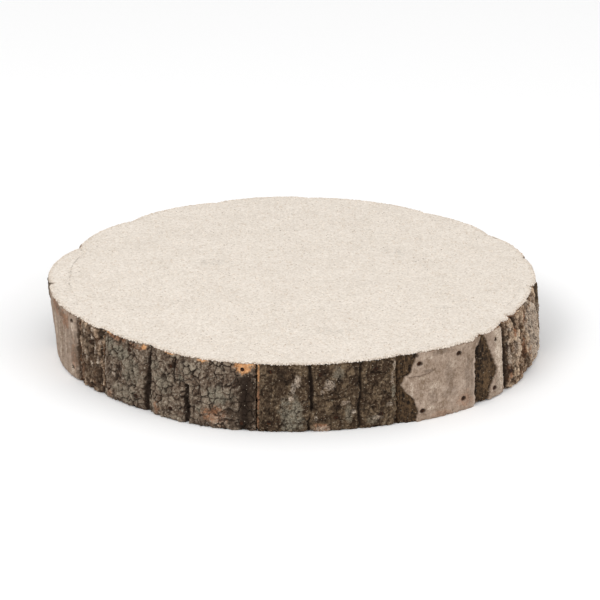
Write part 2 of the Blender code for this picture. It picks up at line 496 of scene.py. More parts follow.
LOOKS["bark_strip_03"] = Look(
    "plated",
    (
        Patch("moss", 226.5, 31, 8, 5, 1.0),
        Patch("moss", 230, 22, 8, 8, 0.7),
        Patch("moss", 228, 8, 10, 5, 0.5),
        Patch("moss", 222.6, 33, 4, 5, 0.9),
        Patch("bare", 221.6, 40.5, 3.4, 0.8, 0.8),
        Patch("rust", 225, 39.4, 7, 1.6, 0.9),
        Patch("bare", 233.4, 39.4, 2.2, 1.8, 1.0),
        Patch("stain", 235.4, 30, 1.5, 12),
        Patch("stain", 234.4, 9, 2.6, 14),
        Patch("rust", 231, 38.2, 6, 1.6, 0.7),
        Patch("rust", 222.5, 4, 3, 3, 0.5),
        Patch("stain", 229.0, 37.0, 3.5, 1.2, 0.8),
        Patch("flake", 220.9, 20, 0.6, 10, 0.6),
        Patch("flake", 224.0, 17, 1.3, 1.3, 0.8),
    ),
    (Groove(234.7, 0, 37, 1.9, 2.4, 2.2),),
    (
        Split(((225.0, 31), (225.6, 24), (225.0, 12)), 0.6, 1.5),
        Split(((230.6, 34), (230.0, 24), (231.0, 15)), 0.5, 1.2),
        Split(((221.5, 14), (226, 12.5), (231, 13.5)), 0.5, 1.0),
        Split(((222.0, 27), (225.0, 25.5)), 0.5, 0.9),
    ),
)
LOOKS["bark_strip_04"] = Look(
    "plated",
    (
        Patch("moss", 252.8, 20.5, 9, 5.5, 1.0),
        Patch("moss", 239.5, 22, 6, 7, 0.6),
        Patch("moss", 246, 34, 8, 5, 0.35),
        Patch("moss", 249, 10, 3, 3, 0.7),
        Patch("rust", 252.5, 8.0, 8, 6.0, 0.9),
        Patch("flake", 253.5, 6.0, 5, 4.0, 0.4),
        Patch("stain", 248.2, 14.0, 3, 2.0, 0.55),
        Patch("moss", 237.0, 31, 4, 4, 0.7),
        Patch("moss", 244.2, 27, 2.4, 2.8, 1.0),
        Patch("rust", 237.5, 5, 2.5, 5, 0.6),
        Patch("bare", 259.1, 38.8, 5.8, 3.9, 1.0),
        Patch("bare", 249.5, 40.2, 3.0, 1.2, 0.9),
        Patch("bare", 241.0, 40.6, 5.0, 0.6, 0.8),
        Patch("stain", 259.4, 16, 6.6, 24, 1.0),
        Patch("stain", 256.4, 10, 3.0, 9, 0.7),
        Patch("stain", 246.0, 8, 2.2, 9, 0.9),
    ),
    (Groove(245.6, -2, 24, 1.7, 2.8, -1.2), Groove(259.2, -2, 33, 4.6, 1.5), Groove(256.4, 6, 22, 0.6, 0.8)),
    (
        Split(((242.6, 38), (242.2, 30), (242.6, 24)), 0.8, 2.0),
        Split(((242.6, 24), (245.2, 22)), 0.5, 1.2),
        Split(((246.0, 36), (247.6, 29), (248.8, 24), (248.4, 19)), 0.6, 1.5),
        Split(((250.8, 30), (251.6, 25)), 0.5, 1.2),
        Split(((245.5, 18.5), (250, 17.6), (256, 18.6)), 0.55, 1.2),
        Split(((236.5, 32), (239.4, 27), (238.6, 14), (239.2, 4)), 0.5, 1.3),
        Split(((253.6, 38), (254.4, 31), (253.6, 24)), 0.5, 1.2),
        Split(((239.4, 27), (242.4, 26)), 0.5, 1.0),
    ),
)

# %% Strips 5 to 9, at the front right
# Here too the tall narrow dark patches at the strips' side edges and the flat ones just under the top are
# painted shade of the seams and the sand's edge; the others are stains on the bark.
LOOKS["bark_strip_05"] = Look(
    "furrowed",
    (
        Patch("moss", 269.4, 10.5, 7.0, 11.5, 1.0),
        Patch("flake", 270.6, 31, 2.0, 4.0, 0.9),
        Patch("flake", 269.6, 26.5, 1.6, 3.0, 0.8),
        Patch("flake", 269.2, 20.5, 1.6, 1.3, 1.0),
        Patch("stain", 267.0, 32, 3.6, 10, 0.55),
        Patch("stain", 264.2, 14, 2.0, 14, 0.7),
        Patch("stain", 276.4, 36, 3.0, 2.4, 0.7),
        Patch("stain", 279.0, 14.5, 5.0, 2.6, 0.8),
        Patch("rust", 275.7, 2.2, 5.4, 3.4, 1.0),
        Patch("flake", 275.7, 1.6, 4.8, 2.6, 0.9),
        Patch("flake", 277.6, 28, 4, 3, 0.6),
        Patch("flake", 276.0, 24, 1.4, 1.4, 0.6),
        Patch("flake", 283.0, 11, 1.6, 1.6, 0.7),
        Patch("flake", 274.6, 8, 1.2, 1.8, 0.8),
        Patch("moss", 279.5, 34, 4, 5, 0.6),
        Patch("moss", 282.0, 10, 2.5, 5, 0.6),
        Patch("flake", 281, 17, 3, 1.4, 0.6),
        Patch("flake", 292.5, 36, 0.8, 4.5, 0.75),
        Patch("flake", 291.9, 27.5, 0.9, 5.0, 0.6),
        Patch("moss", 292.2, 20, 1.4, 4.0, 0.9),
        Patch("flake", 291.4, 13, 2.2, 1.6, 0.6),
        Patch("flake", 288.6, 6, 4.0, 1.4, 0.5),
        Patch("moss", 287.5, 4.5, 4, 3, 0.5),
        Patch("stain", 283.6, 30, 1.6, 16, 0.7),
        Patch("stain", 273.4, 28, 1.8, 14, 0.9),
        Patch("stain", 264.6, 26, 1.6, 14, 0.6),
        Patch("stain", 289.5, 9, 1.4, 4, 0.9),
        Patch("bare", 262.1, 35, 0.7, 6, 0.8),
        Patch("rust", 262.1, 20, 0.7, 10, 0.9),
        Patch("rust", 262.0, 6, 0.6, 5, 0.8),
    ),
    (
        Groove(273.6, 12, 42, 1.2, 2.0),
        Groove(273.0, 0, 9, 1.0, 1.6),
        Groove(284.4, 0, 42, 1.1, 1.6, 0.6),
        Groove(265.6, 6, 40, 1.2, 1.0, 0.8),
        Groove(291.2, 6, 38, 0.6, 0.9),
    ),
    (
        Split(((274.5, 24), (277.5, 19), (281.5, 20), (283.6, 24)), 0.5, 0.8),
        Split(((285.2, 14), (287.5, 7), (290.5, 8)), 0.5, 0.8),
        Split(((279, 40), (280.4, 30), (279, 25)), 0.5, 0.7),
        Split(((287.5, 34), (286.8, 26), (288.6, 18)), 0.4, 0.6),
    ),
)
LOOKS["bark_strip_06"] = Look(
    "smooth",
    (
        Patch("rust", 310, 7, 8, 5, 0.45),
        Patch("stain", 304.0, 39.4, 6.5, 1.6, 0.42),
        Patch("flake", 300.5, 37.2, 3.5, 1.4, 0.5),
        Patch("stain", 300.5, 29.6, 3.4, 0.9, 0.4),
        Patch("flake", 299.0, 25.6, 4.0, 1.0, 0.8),
        Patch("stain", 306, 24, 3.0, 8.0, 0.22),
        Patch("stain", 301.6, 14, 3.4, 5.0, 0.2),
        Patch("stain", 311.0, 22, 2.4, 10, 0.3),
        Patch("flake", 307.0, 30, 3.0, 3.0, 0.35),
        Patch("flake", 302, 20, 7, 4.0, 0.45),
        Patch("flake", 301, 7, 2.2, 1.6, 0.9),
        Patch("stain", 306, 14, 6, 3.4, 0.22),
        Patch("stain", 312.4, 20, 1.4, 14, 0.35),
        Patch("stain", 297.5, 39.6, 3, 1.5, 0.8),
        Patch("flake", 296.4, 18, 1.2, 7, 0.5),
        Patch("flake", 300, 10, 3.5, 2.5, 0.4),
        Patch("rust", 304, 2, 8, 2.2, 0.35),
    ),
    (),
    (
        Split(((294.6, 27.8), (297.5, 26.8), (300, 27.2), (302.4, 29.6)), 0.55, 0.95),
        Split(((297.6, 12.4), (299.6, 12.8)), 0.4, 0.2),
    ),
    (
        (0, 292, 297.4),
        (6, 292, 297.8),
        (13.6, 292, 297.0),
        (18.5, 292, 295.2),
        (23.2, 292, 294.0),
        (27.8, 292, 295.0),
        (29.6, 292, 296.3),
        (34, 292, 297.0),
        (41, 292, 298.2),
    ),
)
LOOKS["bark_strip_07"] = Look(
    "smooth",
    (
        Patch("flake", 322.4, 28, 5.0, 17, 1.4),
        Patch("flake", 322.8, 12, 3.6, 8, 1.2),
        Patch("moss", 321.6, 7, 3.4, 5, 0.4),
        Patch("flake", 317.6, 13, 2.4, 8, 0.9),
        Patch("flake", 319.0, 20, 1.6, 5, 0.7),
        Patch("stain", 315.6, 30, 3.4, 10, 1.0),
        Patch("stain", 314.4, 14, 1.0, 12, 0.8),
    ),
    (),
    (),
    (
        (0, 312, 317.6),
        (4, 312, 318.2),
        (8.0, 312, 318.6),
        (11.5, 312, 320.0),
        (15.0, 312, 321.0),
        (18.1, 312, 321.3),
        (24.3, 312, 320.0),
        (31.7, 313.2, 318.8),
        (36, 315.0, 318.1),
        (41, 316.3, 317.2),
    ),
)
LOOKS["bark_strip_08"] = Look(
    "flaky",
    (
        # A painted shadow: the dark band down the groove at this strip's left edge.
        Patch("stain", 325.3, 20, 4.4, 28, 1.0),
        Patch("stain", 327.0, 31, 2.0, 2.0, 0.9),
        Patch("stain", 330.4, 38.6, 2.6, 4.6, 1.0),
        Patch("rust", 330.6, 32.0, 2.0, 4.0, 1.0),
        Patch("rust", 327.0, 9, 3.4, 5, 0.9),
        Patch("stain", 327.6, 4.5, 3.4, 2.4, 0.8),
        Patch("stain", 331.8, 9, 2.4, 3.0, 0.6),
        Patch("pit", 328.6, 8.6, 1.2, 1.6, 0.9),
        Patch("pit", 331.6, 13.4, 1.0, 1.2, 0.7),
        Patch("pit", 326.6, 27, 1.4, 2.0, 1.0),
        Patch("pit", 328.0, 12, 1.1, 1.4, 0.8),
        Patch("pit", 330.5, 16, 0.9, 1.2, 0.7),
        Patch("flake", 331, 22, 4.0, 9, 0.7),
        Patch("flake", 327.4, 20, 2.2, 9, 0.8),
        Patch("flake", 328.2, 36, 1.6, 3.4, 0.9),
        Patch("pit", 330.4, 39.4, 2.0, 3.4, 1.0),
        Patch("rust", 332.6, 8, 2, 6, 0.6),
        Patch("pit", 327, 29, 0.9, 1.2, 0.8),
        Patch("moss", 329, 15, 2.5, 5, 0.4),
    ),
    (Groove(325.2, 0, 41, 1.3, 1.8), Groove(330.0, 24, 36, 0.7, 1.0, 1.0), Groove(333.4, 4, 36, 0.7, 1.2)),
    (Split(((326.6, 18), (330, 16), (332.4, 18)), 0.4, 0.6),),
)
LOOKS["bark_strip_09"] = Look(
    "flaky",
    (
        Patch("flake", 344, 25, 16, 16, 1.5),
        Patch("flake", 346, 10, 15, 9, 1.4),
        Patch("stain", 342.0, 27.5, 2.0, 2.4, 0.9),
        Patch("stain", 347.0, 21.0, 1.2, 2.6, 0.8),
        Patch("stain", 340.5, 17, 3, 2, 0.7),
        Patch("stain", 345.0, 30, 1.4, 5, 0.7),
        Patch("rust", 336.0, 16, 3.0, 12, 0.9),
        Patch("stain", 333.8, 20, 2.4, 22, 0.95),
        Patch("stain", 337.6, 7, 4.4, 5, 0.7),
        Patch("rust", 338.0, 32, 3.0, 6, 0.7),
        Patch("rust", 343, 33, 3, 5, 0.5),
        Patch("rust", 339.4, 12, 3.0, 5, 0.8),
        Patch("moss", 349, 24, 5, 12, 0.35),
        Patch("pit", 341.0, 21.0, 1.0, 2.4, 0.7),
        Patch("pit", 345.4, 17.0, 0.9, 2.0, 0.7),
        Patch("pit", 338.4, 26.0, 1.0, 1.6, 0.8),
    ),
    (Groove(334.3, 2, 40, 1.3, 1.8), Groove(340, 10, 24, 0.7, 1.0, 1.2), Groove(347, 16, 36, 0.8, 1.0, -1)),
    (
        Split(((334.8, 37), (335.4, 30), (336.4, 26), (335.2, 19), (336.0, 6)), 0.9, 1.8),
        Split(((337, 30), (341, 27), (344, 29)), 0.5, 1.0),
        Split(((343, 18), (347, 16), (350, 19)), 0.5, 1.0),
    ),
)

# %% Strips 10 to 17, round the back
# As at the front, the tall narrow dark patches at the strips' side edges are painted shade of the seams.
LOOKS["bark_strip_10"] = Look(
    "furrowed",
    (
        Patch("flake", 354.5, 24, 5, 12, 0.7),
        Patch("moss", 3, 20, 8, 12, 0.8),
        Patch("rust", 9, 6, 5, 4, 0.7),
        Patch("flake", 7, 30, 2, 6, 0.6),
    ),
    (Groove(359.5, 4, 41, 1.2, 1.8), Groove(366.0, 0, 34, 1.1, 1.6, 1.0)),
    (Split(((360, 20), (363, 15), (366, 18)), 0.5, 0.8),),
)
LOOKS["bark_strip_11"] = Look(
    "plated",
    (
        Patch("moss", 19, 26, 14, 10, 0.8),
        Patch("rust", 26, 8, 7, 6, 0.8),
        Patch("bare", 16, 40.2, 6, 0.9, 0.9),
        Patch("stain", 30.3, 20, 1.6, 20, 0.9),
    ),
    (Groove(22, 0, 30, 1.2, 2.2), Groove(30.2, 0, 38, 1.3, 2.0)),
    (Split(((15, 30), (16.4, 22), (15.4, 12)), 0.5, 0.9), Split(((22, 30), (25, 33), (26, 38)), 0.5, 0.9)),
)
LOOKS["bark_strip_12"] = Look(
    "smooth",
    (Patch("flake", 45, 22, 8, 10, 0.3), Patch("rust", 51, 8, 4, 8, 0.5), Patch("rust", 42, 38, 8, 2, 0.6)),
    (),
    (Split(((38, 24), (42, 22.5), (46, 25)), 0.4, 0.4),),
    ((0, 30, 35.0), (9, 30, 34.4), (17, 30, 36.2), (26, 30, 34.2), (33, 30, 35.4), (41, 30, 34.2)),
)
LOOKS["bark_strip_13"] = Look(
    "plated",
    (
        Patch("moss", 63, 22, 11, 12, 0.9),
        Patch("rust", 76, 11, 8, 7, 0.8),
        Patch("stain", 84.2, 20, 1.8, 20, 0.9),
        Patch("bare", 70, 40.3, 6, 0.9, 0.9),
        Patch("moss", 78, 31, 6, 5, 0.7),
    ),
    (Groove(69, 0, 32, 1.3, 2.4, 1.0), Groove(84.2, 0, 38, 1.3, 2.0)),
    (
        Split(((60, 36), (60.8, 28), (59.6, 20)), 0.5, 1.0),
        Split(((75, 38), (74.2, 30), (76, 22), (75.2, 14)), 0.5, 1.0),
        Split(((70, 18), (74, 16), (79, 17.6)), 0.45, 0.7),
    ),
)
LOOKS["bark_strip_14"] = Look(
    "furrowed",
    (
        Patch("moss", 99, 12, 6, 10, 0.9),
        Patch("flake", 93, 28, 3, 8, 0.6),
        Patch("flake", 107, 22, 2, 12, 0.6),
        Patch("rust", 92, 6, 4, 4, 0.7),
        Patch("moss", 102, 33, 3, 5, 0.6),
    ),
    (Groove(90, 4, 38, 1.2, 1.8), Groove(96.5, 6, 41, 1.2, 1.8, -1), Groove(104.5, 0, 36, 1.2, 1.8)),
    (Split(((91, 20), (94, 16), (96, 19)), 0.5, 0.8), Split(((98, 26), (101, 23), (104, 27)), 0.5, 0.8)),
)
LOOKS["bark_strip_15"] = Look(
    "flaky",
    (
        Patch("rust", 118, 20, 4, 12, 0.7),
        Patch("flake", 127, 26, 5, 9, 0.6),
        Patch("stain", 134.2, 18, 1.2, 18, 0.9),
        Patch("pit", 123, 34, 1.8, 4, 0.9),
        Patch("flake", 115, 12, 3, 5, 0.6),
        Patch("moss", 130, 10, 4, 6, 0.5),
    ),
    (Groove(122.5, 4, 38, 1.1, 1.6, 1.0), Groove(130.5, 0, 30, 0.9, 1.2)),
    (Split(((113, 26), (117, 23), (120, 26)), 0.4, 0.6),),
)
LOOKS["bark_strip_16"] = Look(
    "smooth",
    (
        Patch("flake", 147, 20, 8, 10, 0.3),
        Patch("rust", 138, 34, 4, 6, 0.6),
        Patch("stain", 159, 22, 1.6, 18, 0.8),
    ),
    (Groove(143, 0, 40, 2.4, 0.6), Groove(153, 4, 38, 2.0, 0.6)),
    (Split(((147, 16), (147.8, 23), (147.2, 30)), 0.3, 0.3),),
    (
        (0, 155.4, 161),
        (8, 156.4, 161),
        (18, 157.8, 161),
        (26, 156.6, 161),
        (34, 158.8, 161),
        (41, 159.4, 161),
    ),
)
LOOKS["bark_strip_17"] = Look(
    "furrowed",
    (
        Patch("moss", 168, 26, 8, 10, 0.8),
        Patch("rust", 179, 9, 5, 5, 0.7),
        Patch("flake", 175, 30, 3, 8, 0.5),
        Patch("stain", 184.5, 32, 1.6, 8, 0.9),
    ),
    (Groove(171, 0, 38, 1.2, 1.8, 1.0), Groove(178, 5, 41, 1.1, 1.6), Groove(164, 2, 30, 1.0, 1.4)),
    (Split(((165, 34), (168, 31), (171, 33)), 0.5, 0.7),),
)
print(len(LOOKS), "strips described")

# %% [markdown]
# ## The shape of a strip
# A strip starts as a fine grid laid over its outer face and a little way round its edges. Grooves,
# splits, pits, peeled bark and nail holes move the grid in or out here, because they sit at known
# places. The same step writes the patches to the mesh as named attributes, which the relief and the
# finish read. The grid is closed with a plain back, so that each strip is one sound solid.


# %% Soft random values
BARK_RADIUS = 149.5  # mm, on average
MM_PER_DEGREE = math.radians(1) * BARK_RADIUS
TABLE = 64  # random values along each side of a table, after which they repeat


def rough(x, y, size, seed):
    """Soft random values from 0 to 1 over a plane, in blobs about this size."""
    table = np.random.default_rng(seed).random((TABLE, TABLE))
    u, v = x / size, y / size
    i, j = np.floor(u).astype(int), np.floor(v).astype(int)
    fx, fy = u - i, v - j
    fx, fy = fx * fx * (3 - 2 * fx), fy * fy * (3 - 2 * fy)
    i, j, right, above = i % TABLE, j % TABLE, (i + 1) % TABLE, (j + 1) % TABLE
    low_row = table[i, j] * (1 - fx) + table[right, j] * fx
    high_row = table[i, above] * (1 - fx) + table[right, above] * fx
    return low_row * (1 - fy) + high_row * fy


def rise(value, start, end):
    """0 before start, 1 after end, and smooth between them."""
    t = np.clip((value - start) / (end - start), 0, 1)
    return t * t * (3 - 2 * t)


def aside(angles, angle):
    """How far round the bark from an angle, in mm."""
    return half_turn(angles - angle) * MM_PER_DEGREE


# %% Placing the marks
PATCH_FADE = (0.55, 1.15)  # shares of a patch's size between which it fades out
PATCH_RAGGED = 0.7  # share of its size by which its outline wanders
GROOVE_FADE = 1.5  # mm over which a groove runs out, both ways from its end
PEEL_EDGE = 0.25  # mm either way of the line over which the peeled bark's edge rises


def patch_masks(look, angles, heights, seed):
    """How much of each kind of patch lies at each point, from 0 to 1."""
    masks = {kind: np.zeros_like(angles) for kind in PATCH_KINDS}
    x, y = angles * MM_PER_DEGREE, heights
    for number, patch in enumerate(look.patches):
        dx = aside(angles, patch.angle) / patch.wide
        dy = (heights - patch.height) / patch.tall
        size = min(patch.wide, patch.tall)
        ragged = rough(x, y, min(2.6, size), seed + number) - 0.5
        ragged += 0.6 * (rough(x, y, 0.8, seed + 90 + number) - 0.5)
        inside = 1 - rise(np.hypot(dx, dy) + PATCH_RAGGED * ragged, *PATCH_FADE)
        masks[patch.kind] = np.maximum(masks[patch.kind], inside * patch.strength)
    return masks


def groove_depth(look, angles, heights, seed):
    """How deep the grooves cut at each point, in mm."""
    depth = np.zeros_like(angles)
    for number, groove in enumerate(look.grooves):
        share = (heights - groove.low) / (groove.high - groove.low)
        wander = rough(heights, heights * 0, 5.0, seed + 31 * number) - 0.5
        wander = wander * 1.6 + rough(heights, heights * 0, 1.3, seed + 47 * number) * 0.5 - 0.25
        away = aside(angles, groove.angle) - groove.lean * (share - 0.5) - wander
        begins = rise(heights, groove.low - GROOVE_FADE, groove.low + GROOVE_FADE)
        ends = 1 - rise(heights, groove.high - GROOVE_FADE, groove.high + GROOVE_FADE)
        width = groove.wide * (0.6 + 0.8 * rough(heights, heights * 0, 3.0, seed + 7 + number))
        depth = np.maximum(depth, groove.deep * begins * ends * np.exp(-((away / width) ** 2)))
    return depth


def split_depth(look, angles, heights, seed):
    """How deep the splits cut at each point, in mm."""
    depth = np.zeros_like(angles)
    jog_x = (rough(angles * MM_PER_DEGREE, heights, 1.5, seed) - 0.5) * 1.1
    jog_y = (rough(angles * MM_PER_DEGREE, heights, 1.5, seed + 1) - 0.5) * 1.1
    for split in look.splits:
        for (angle_a, height_a), (angle_b, height_b) in zip(split.points, split.points[1:]):
            x, y = aside(angles, angle_a) + jog_x, heights - height_a + jog_y
            run_x, run_y = (angle_b - angle_a) * MM_PER_DEGREE, height_b - height_a
            along = np.clip((x * run_x + y * run_y) / (run_x**2 + run_y**2), 0, 1)
            away = np.hypot(x - along * run_x, y - along * run_y)
            depth = np.maximum(depth, split.deep * np.exp(-((away / split.wide) ** 2)))
    return depth


def peeled_share(look, angles, heights, seed):
    """1 where the smooth outer bark has come away, 0 where it is whole."""
    if not look.peel:
        return np.zeros_like(angles)
    levels, first, last = (list(column) for column in zip(*look.peel))
    wander = (rough(angles * 0, heights, 1.4, seed + 5) - 0.5) * 0.7
    after_first = aside(angles, np.interp(heights, levels, first)) + wander
    before_last = aside(angles, np.interp(heights, levels, last)) + wander
    return rise(after_first, -PEEL_EDGE, PEEL_EDGE) * (1 - rise(before_last, -PEEL_EDGE, PEEL_EDGE))


# %% The grid and its closed back
FINE = 0.36  # mm between the grid's points
LIP = (2.4, 1.5, 0.8, 0.3)  # mm that the grid reaches in round each edge
SKIN_DROP = 0.35  # mm that the bark lies inside the frame's block, to leave room for its relief
PEEL_DEPTH = 0.9
PIT_DEPTH = 2.3
HOLE_RADIUS = 1.45  # of the hole over a nail's head, mm
HEAD_PROUD = 0.25  # mm that a nail's head stands out of the floor of its hole
# The dark mark round a nail is painted shade of its hole, with some iron staining.
NAIL_MARK_STRETCH = 1.45  # how much wider than tall the dark mark round a nail is
THINNEST = 0.6  # mm of bark left under the deepest cut
BACK_STEPS = (2.5, 14.0)  # between the plain back's points: degrees round, mm up


def spaced(start, end, step):
    return np.linspace(start, end, max(4, round((end - start) / step)) + 1)


def with_lips(values):
    """The values, with each end repeated for the lip that goes round the edge, and the lips' depths."""
    lip = np.array(LIP)
    places = np.concatenate([np.full(len(lip), values[0]), values, np.full(len(lip), values[-1])])
    return places, np.concatenate([lip, np.zeros(len(values)), lip[::-1]])


def border(grid):
    """The four sides of a grid of point numbers, anticlockwise from the bottom left."""
    return [grid[0], grid[:, -1], grid[-1, ::-1], grid[::-1, 0]]


def stitch(outer, inner):
    """Triangles between two runs of points with different spacing."""
    faces = []
    i = j = 0
    last_i, last_j = len(outer) - 1, len(inner) - 1
    while i < last_i or j < last_j:
        if j == last_j or (i < last_i and (i + 1) * last_j <= (j + 1) * last_i):
            faces.append((outer[i + 1], outer[i], inner[j]))
            i += 1
        else:
            faces.append((outer[i], inner[j], inner[j + 1]))
            j += 1
    return faces


def quads(grid, flip=False):
    """The faces of a grid of point numbers."""
    sides = [grid[:-1, :-1], grid[:-1, 1:], grid[1:, 1:], grid[1:, :-1]]
    corners = np.stack(sides, axis=-1).reshape(-1, 4)
    return (corners[:, ::-1] if flip else corners).tolist()


def write_attributes(mesh, values):
    for name, numbers in values.items():
        layer = mesh.attributes.new(name, "FLOAT", "POINT")
        layer.data.foreach_set("value", np.asarray(numbers, np.float32))


def round_points(radii, angles, heights):
    turned = np.radians(angles)
    return np.stack([radii * np.cos(turned), radii * np.sin(turned), heights], axis=-1)


# %% One strip
CHIPPED = 2.6  # mm that the deepest chips reach in at an edge
END_WEAR, END_FADE = 0.15, 0.7  # mm worn off the sawn ends all along, and mm over which it fades
SIDE_WEAR, SIDE_FADE = 0.3, 0.8  # the same for the split sides


def worn(to_end, to_side, across, up, seed):
    """How far the bark has crumbled back near its cut edges, in mm."""
    chips = rough(across + seed, up, 2.6, seed + 1) * rough(across, up + seed, 1.1, seed + 2)
    at_ends = (END_WEAR + CHIPPED * chips) * np.exp(-to_end / END_FADE)
    return at_ends + (SIDE_WEAR + CHIPPED * chips) * np.exp(-to_side / SIDE_FADE)


def nail_holes(name, angles, up, radii, masks):
    """Sinks a hole at each nail, darkened as iron staining and painted shade. Returns the radii, and 1 where
    the relief has to stay calm.
    """
    calm = np.zeros_like(radii)
    for nail in nails_of(name):
        round_way, up_way = aside(angles, nail.angle), up - nail.height
        away = np.hypot(round_way, up_way)
        floor = 1 - rise(away, HOLE_RADIUS - 0.35, HOLE_RADIUS + 0.25)
        radii = radii * (1 - floor) + (nail.radius - HEAD_PROUD) * floor
        calm = np.maximum(calm, 1 - rise(away, HOLE_RADIUS, HOLE_RADIUS + 0.7))
        # The dark mark over the hole: partly iron staining, partly painted shade of the hole.
        mark_reach = np.hypot(round_way / NAIL_MARK_STRETCH, up_way)
        stain = 1 - rise(mark_reach, HOLE_RADIUS - 0.4, HOLE_RADIUS + 0.2)
        masks["stain"] = np.maximum(masks["stain"], stain)
    return radii, calm


def closed_mesh(name, block, radii, angles, up, values):
    """The outer grid joined to a plain back, with the grid's values as the mesh's attributes."""
    back_columns = spaced(block.start, block.end, BACK_STEPS[0])
    back_rows = spaced(block.foot, block.top, BACK_STEPS[1])
    back_angles, back_heights = np.meshgrid(back_columns, back_rows)
    back_radii = np.full_like(back_angles, block.inner)
    front_points = round_points(radii, angles, up).reshape(-1, 3)
    back_points = round_points(back_radii, back_angles, back_heights).reshape(-1, 3)
    front = np.arange(radii.size).reshape(radii.shape)
    rear = radii.size + np.arange(back_radii.size).reshape(back_radii.shape)
    faces = quads(front) + quads(rear, flip=True)
    for outer, inner in zip(border(front), border(rear)):
        faces += stitch(outer.tolist(), inner.tolist())
    mesh = bpy.data.meshes.new(name)
    mesh.from_pydata((np.concatenate([front_points, back_points]) * MM).tolist(), [], faces)
    hidden = {"across": (back_angles - block.start) * MM_PER_DEGREE, "up": back_heights}
    nothing = np.zeros_like(back_radii)
    joined = {key: np.append(seen, hidden.get(key, nothing)) for key, seen in values.items()}
    write_attributes(mesh, joined)
    mesh.shade_smooth()
    return mesh


def strip_mesh(name):
    """A closed strip: its fine outer grid with every mark in place, and a plain back."""
    block, look, seed = blocks[name], LOOKS[name], int(name[-2:]) * 100
    width = (block.end - block.start) * MM_PER_DEGREE
    columns, side = with_lips(spaced(0.0, width, FINE))
    rows, end = with_lips(spaced(block.foot, block.top, FINE))
    across, up = np.meshgrid(columns, rows)
    inset = side[None, :] + end[:, None]
    angles = block.start + across / MM_PER_DEGREE
    share = (up - block.foot) / (block.top - block.foot)

    masks = patch_masks(look, angles, up, seed + 300)
    peeled = peeled_share(look, angles, up, seed)
    cut = np.maximum(groove_depth(look, angles, up, seed), split_depth(look, angles, up, seed))
    cut = np.maximum(cut, masks["pit"] * PIT_DEPTH) + peeled * PEEL_DEPTH
    to_side = np.minimum(across, width - across)
    to_end = np.minimum(up - block.foot, block.top - up)
    radii = radius_at(block, across / width, share) - SKIN_DROP
    radii = radii - cut - inset - worn(to_end, to_side, across, up, seed)
    radii, calm = nail_holes(name, angles, up, radii, masks)
    radii = np.maximum(radii, block.inner + THINNEST)
    skin = np.clip(1 - inset / LIP[-2], 0, 1)
    values = {"across": across, "up": up, "skin": skin, "calm": calm, "peeled": peeled, "cut": cut, **masks}
    return closed_mesh(name, block, radii, angles, up, values)

# %% [markdown]
# ## Relief that runs over the bark
# Plates, cracks and fibres repeat all over a strip, so a Geometry Nodes tree makes them. It cuts the
# face into cells stretched up the strip, sinks the cracks between them, lifts and tilts each plate by
# its own amount, and adds fibres and grain. The tree writes how deep and which plate each point is,
# and the finish reads that. One tree serves every kind of bark through its named sizes.


# %% Trees as modifiers
def geometry_tree(name, sizes):
    """A modifier's tree with these named inputs. Returns the tree and its inputs as wires."""
    tree = bpy.data.node_groups.new(name, "GeometryNodeTree")
    tree.is_modifier = True
    tree.interface.new_socket("Geometry", in_out="INPUT", socket_type="NodeSocketGeometry")
    tree.interface.new_socket("Geometry", in_out="OUTPUT", socket_type="NodeSocketGeometry")
    for size in sizes:
        tree.interface.new_socket(size, in_out="INPUT", socket_type="NodeSocketFloat")
    tree.interface.new_socket("Material", in_out="INPUT", socket_type="NodeSocketMaterial")
    given = tree.nodes.new("NodeGroupInput")
    return tree, {socket.name: Wire(tree, socket) for socket in given.outputs if socket.name}


def end_tree(tree, shape, material):
    """Ends a tree in Realize Instances and Set Material."""
    real = out(tree, "GeometryNodeRealizeInstances", {"Geometry": shape})
    dressed = out(tree, "GeometryNodeSetMaterial", {"Geometry": real, "Material": material})
    tree.links.new(dressed.socket, tree.nodes.new("NodeGroupOutput").inputs[0])


def settle(obj, tree, values):
    """Works the tree out into the object's own plain mesh."""
    modifier = obj.modifiers.new("shape", "NODES")
    modifier.node_group = tree
    sockets = {item.name: item.identifier for item in tree.interface.items_tree if item.in_out == "INPUT"}
    for name, value in values.items():
        modifier[sockets[name]] = value
    obj.update_tag()
    graph = bpy.context.evaluated_depsgraph_get()
    plain = bpy.data.meshes.new_from_object(
        obj.evaluated_get(graph), preserve_all_data_layers=True, depsgraph=graph
    )
    obj.modifiers.remove(modifier)
    obj.data = plain
    return obj


def stored(tree, name):
    return out(tree, "GeometryNodeInputNamedAttribute", {"Name": name}, data_type="FLOAT")


def store(tree, shape, name, value, domain="POINT"):
    inputs = {"Geometry": shape, "Name": name, "Value": value}
    return out(tree, "GeometryNodeStoreNamedAttribute", inputs, data_type="FLOAT", domain=domain)


# %% Kinds of bark
class Bark(NamedTuple):
    """Sizes of one kind of bark, in mm. Jitter runs from 0, square plates, to 1, plates of any shape."""

    cell_width: float
    cell_height: float
    jitter: float
    warp: float  # how far the plates' outlines wander
    crack_width: float
    crack_depth: float
    chip_depth: float
    dome: float  # how far a plate rises from its edge inwards
    step: float  # how much plates differ in height
    tilt: float  # how much plates lean
    fibre: float
    grain: float
    rugged: float  # height of lumps a few mm across
    swell: float  # height of slow swells


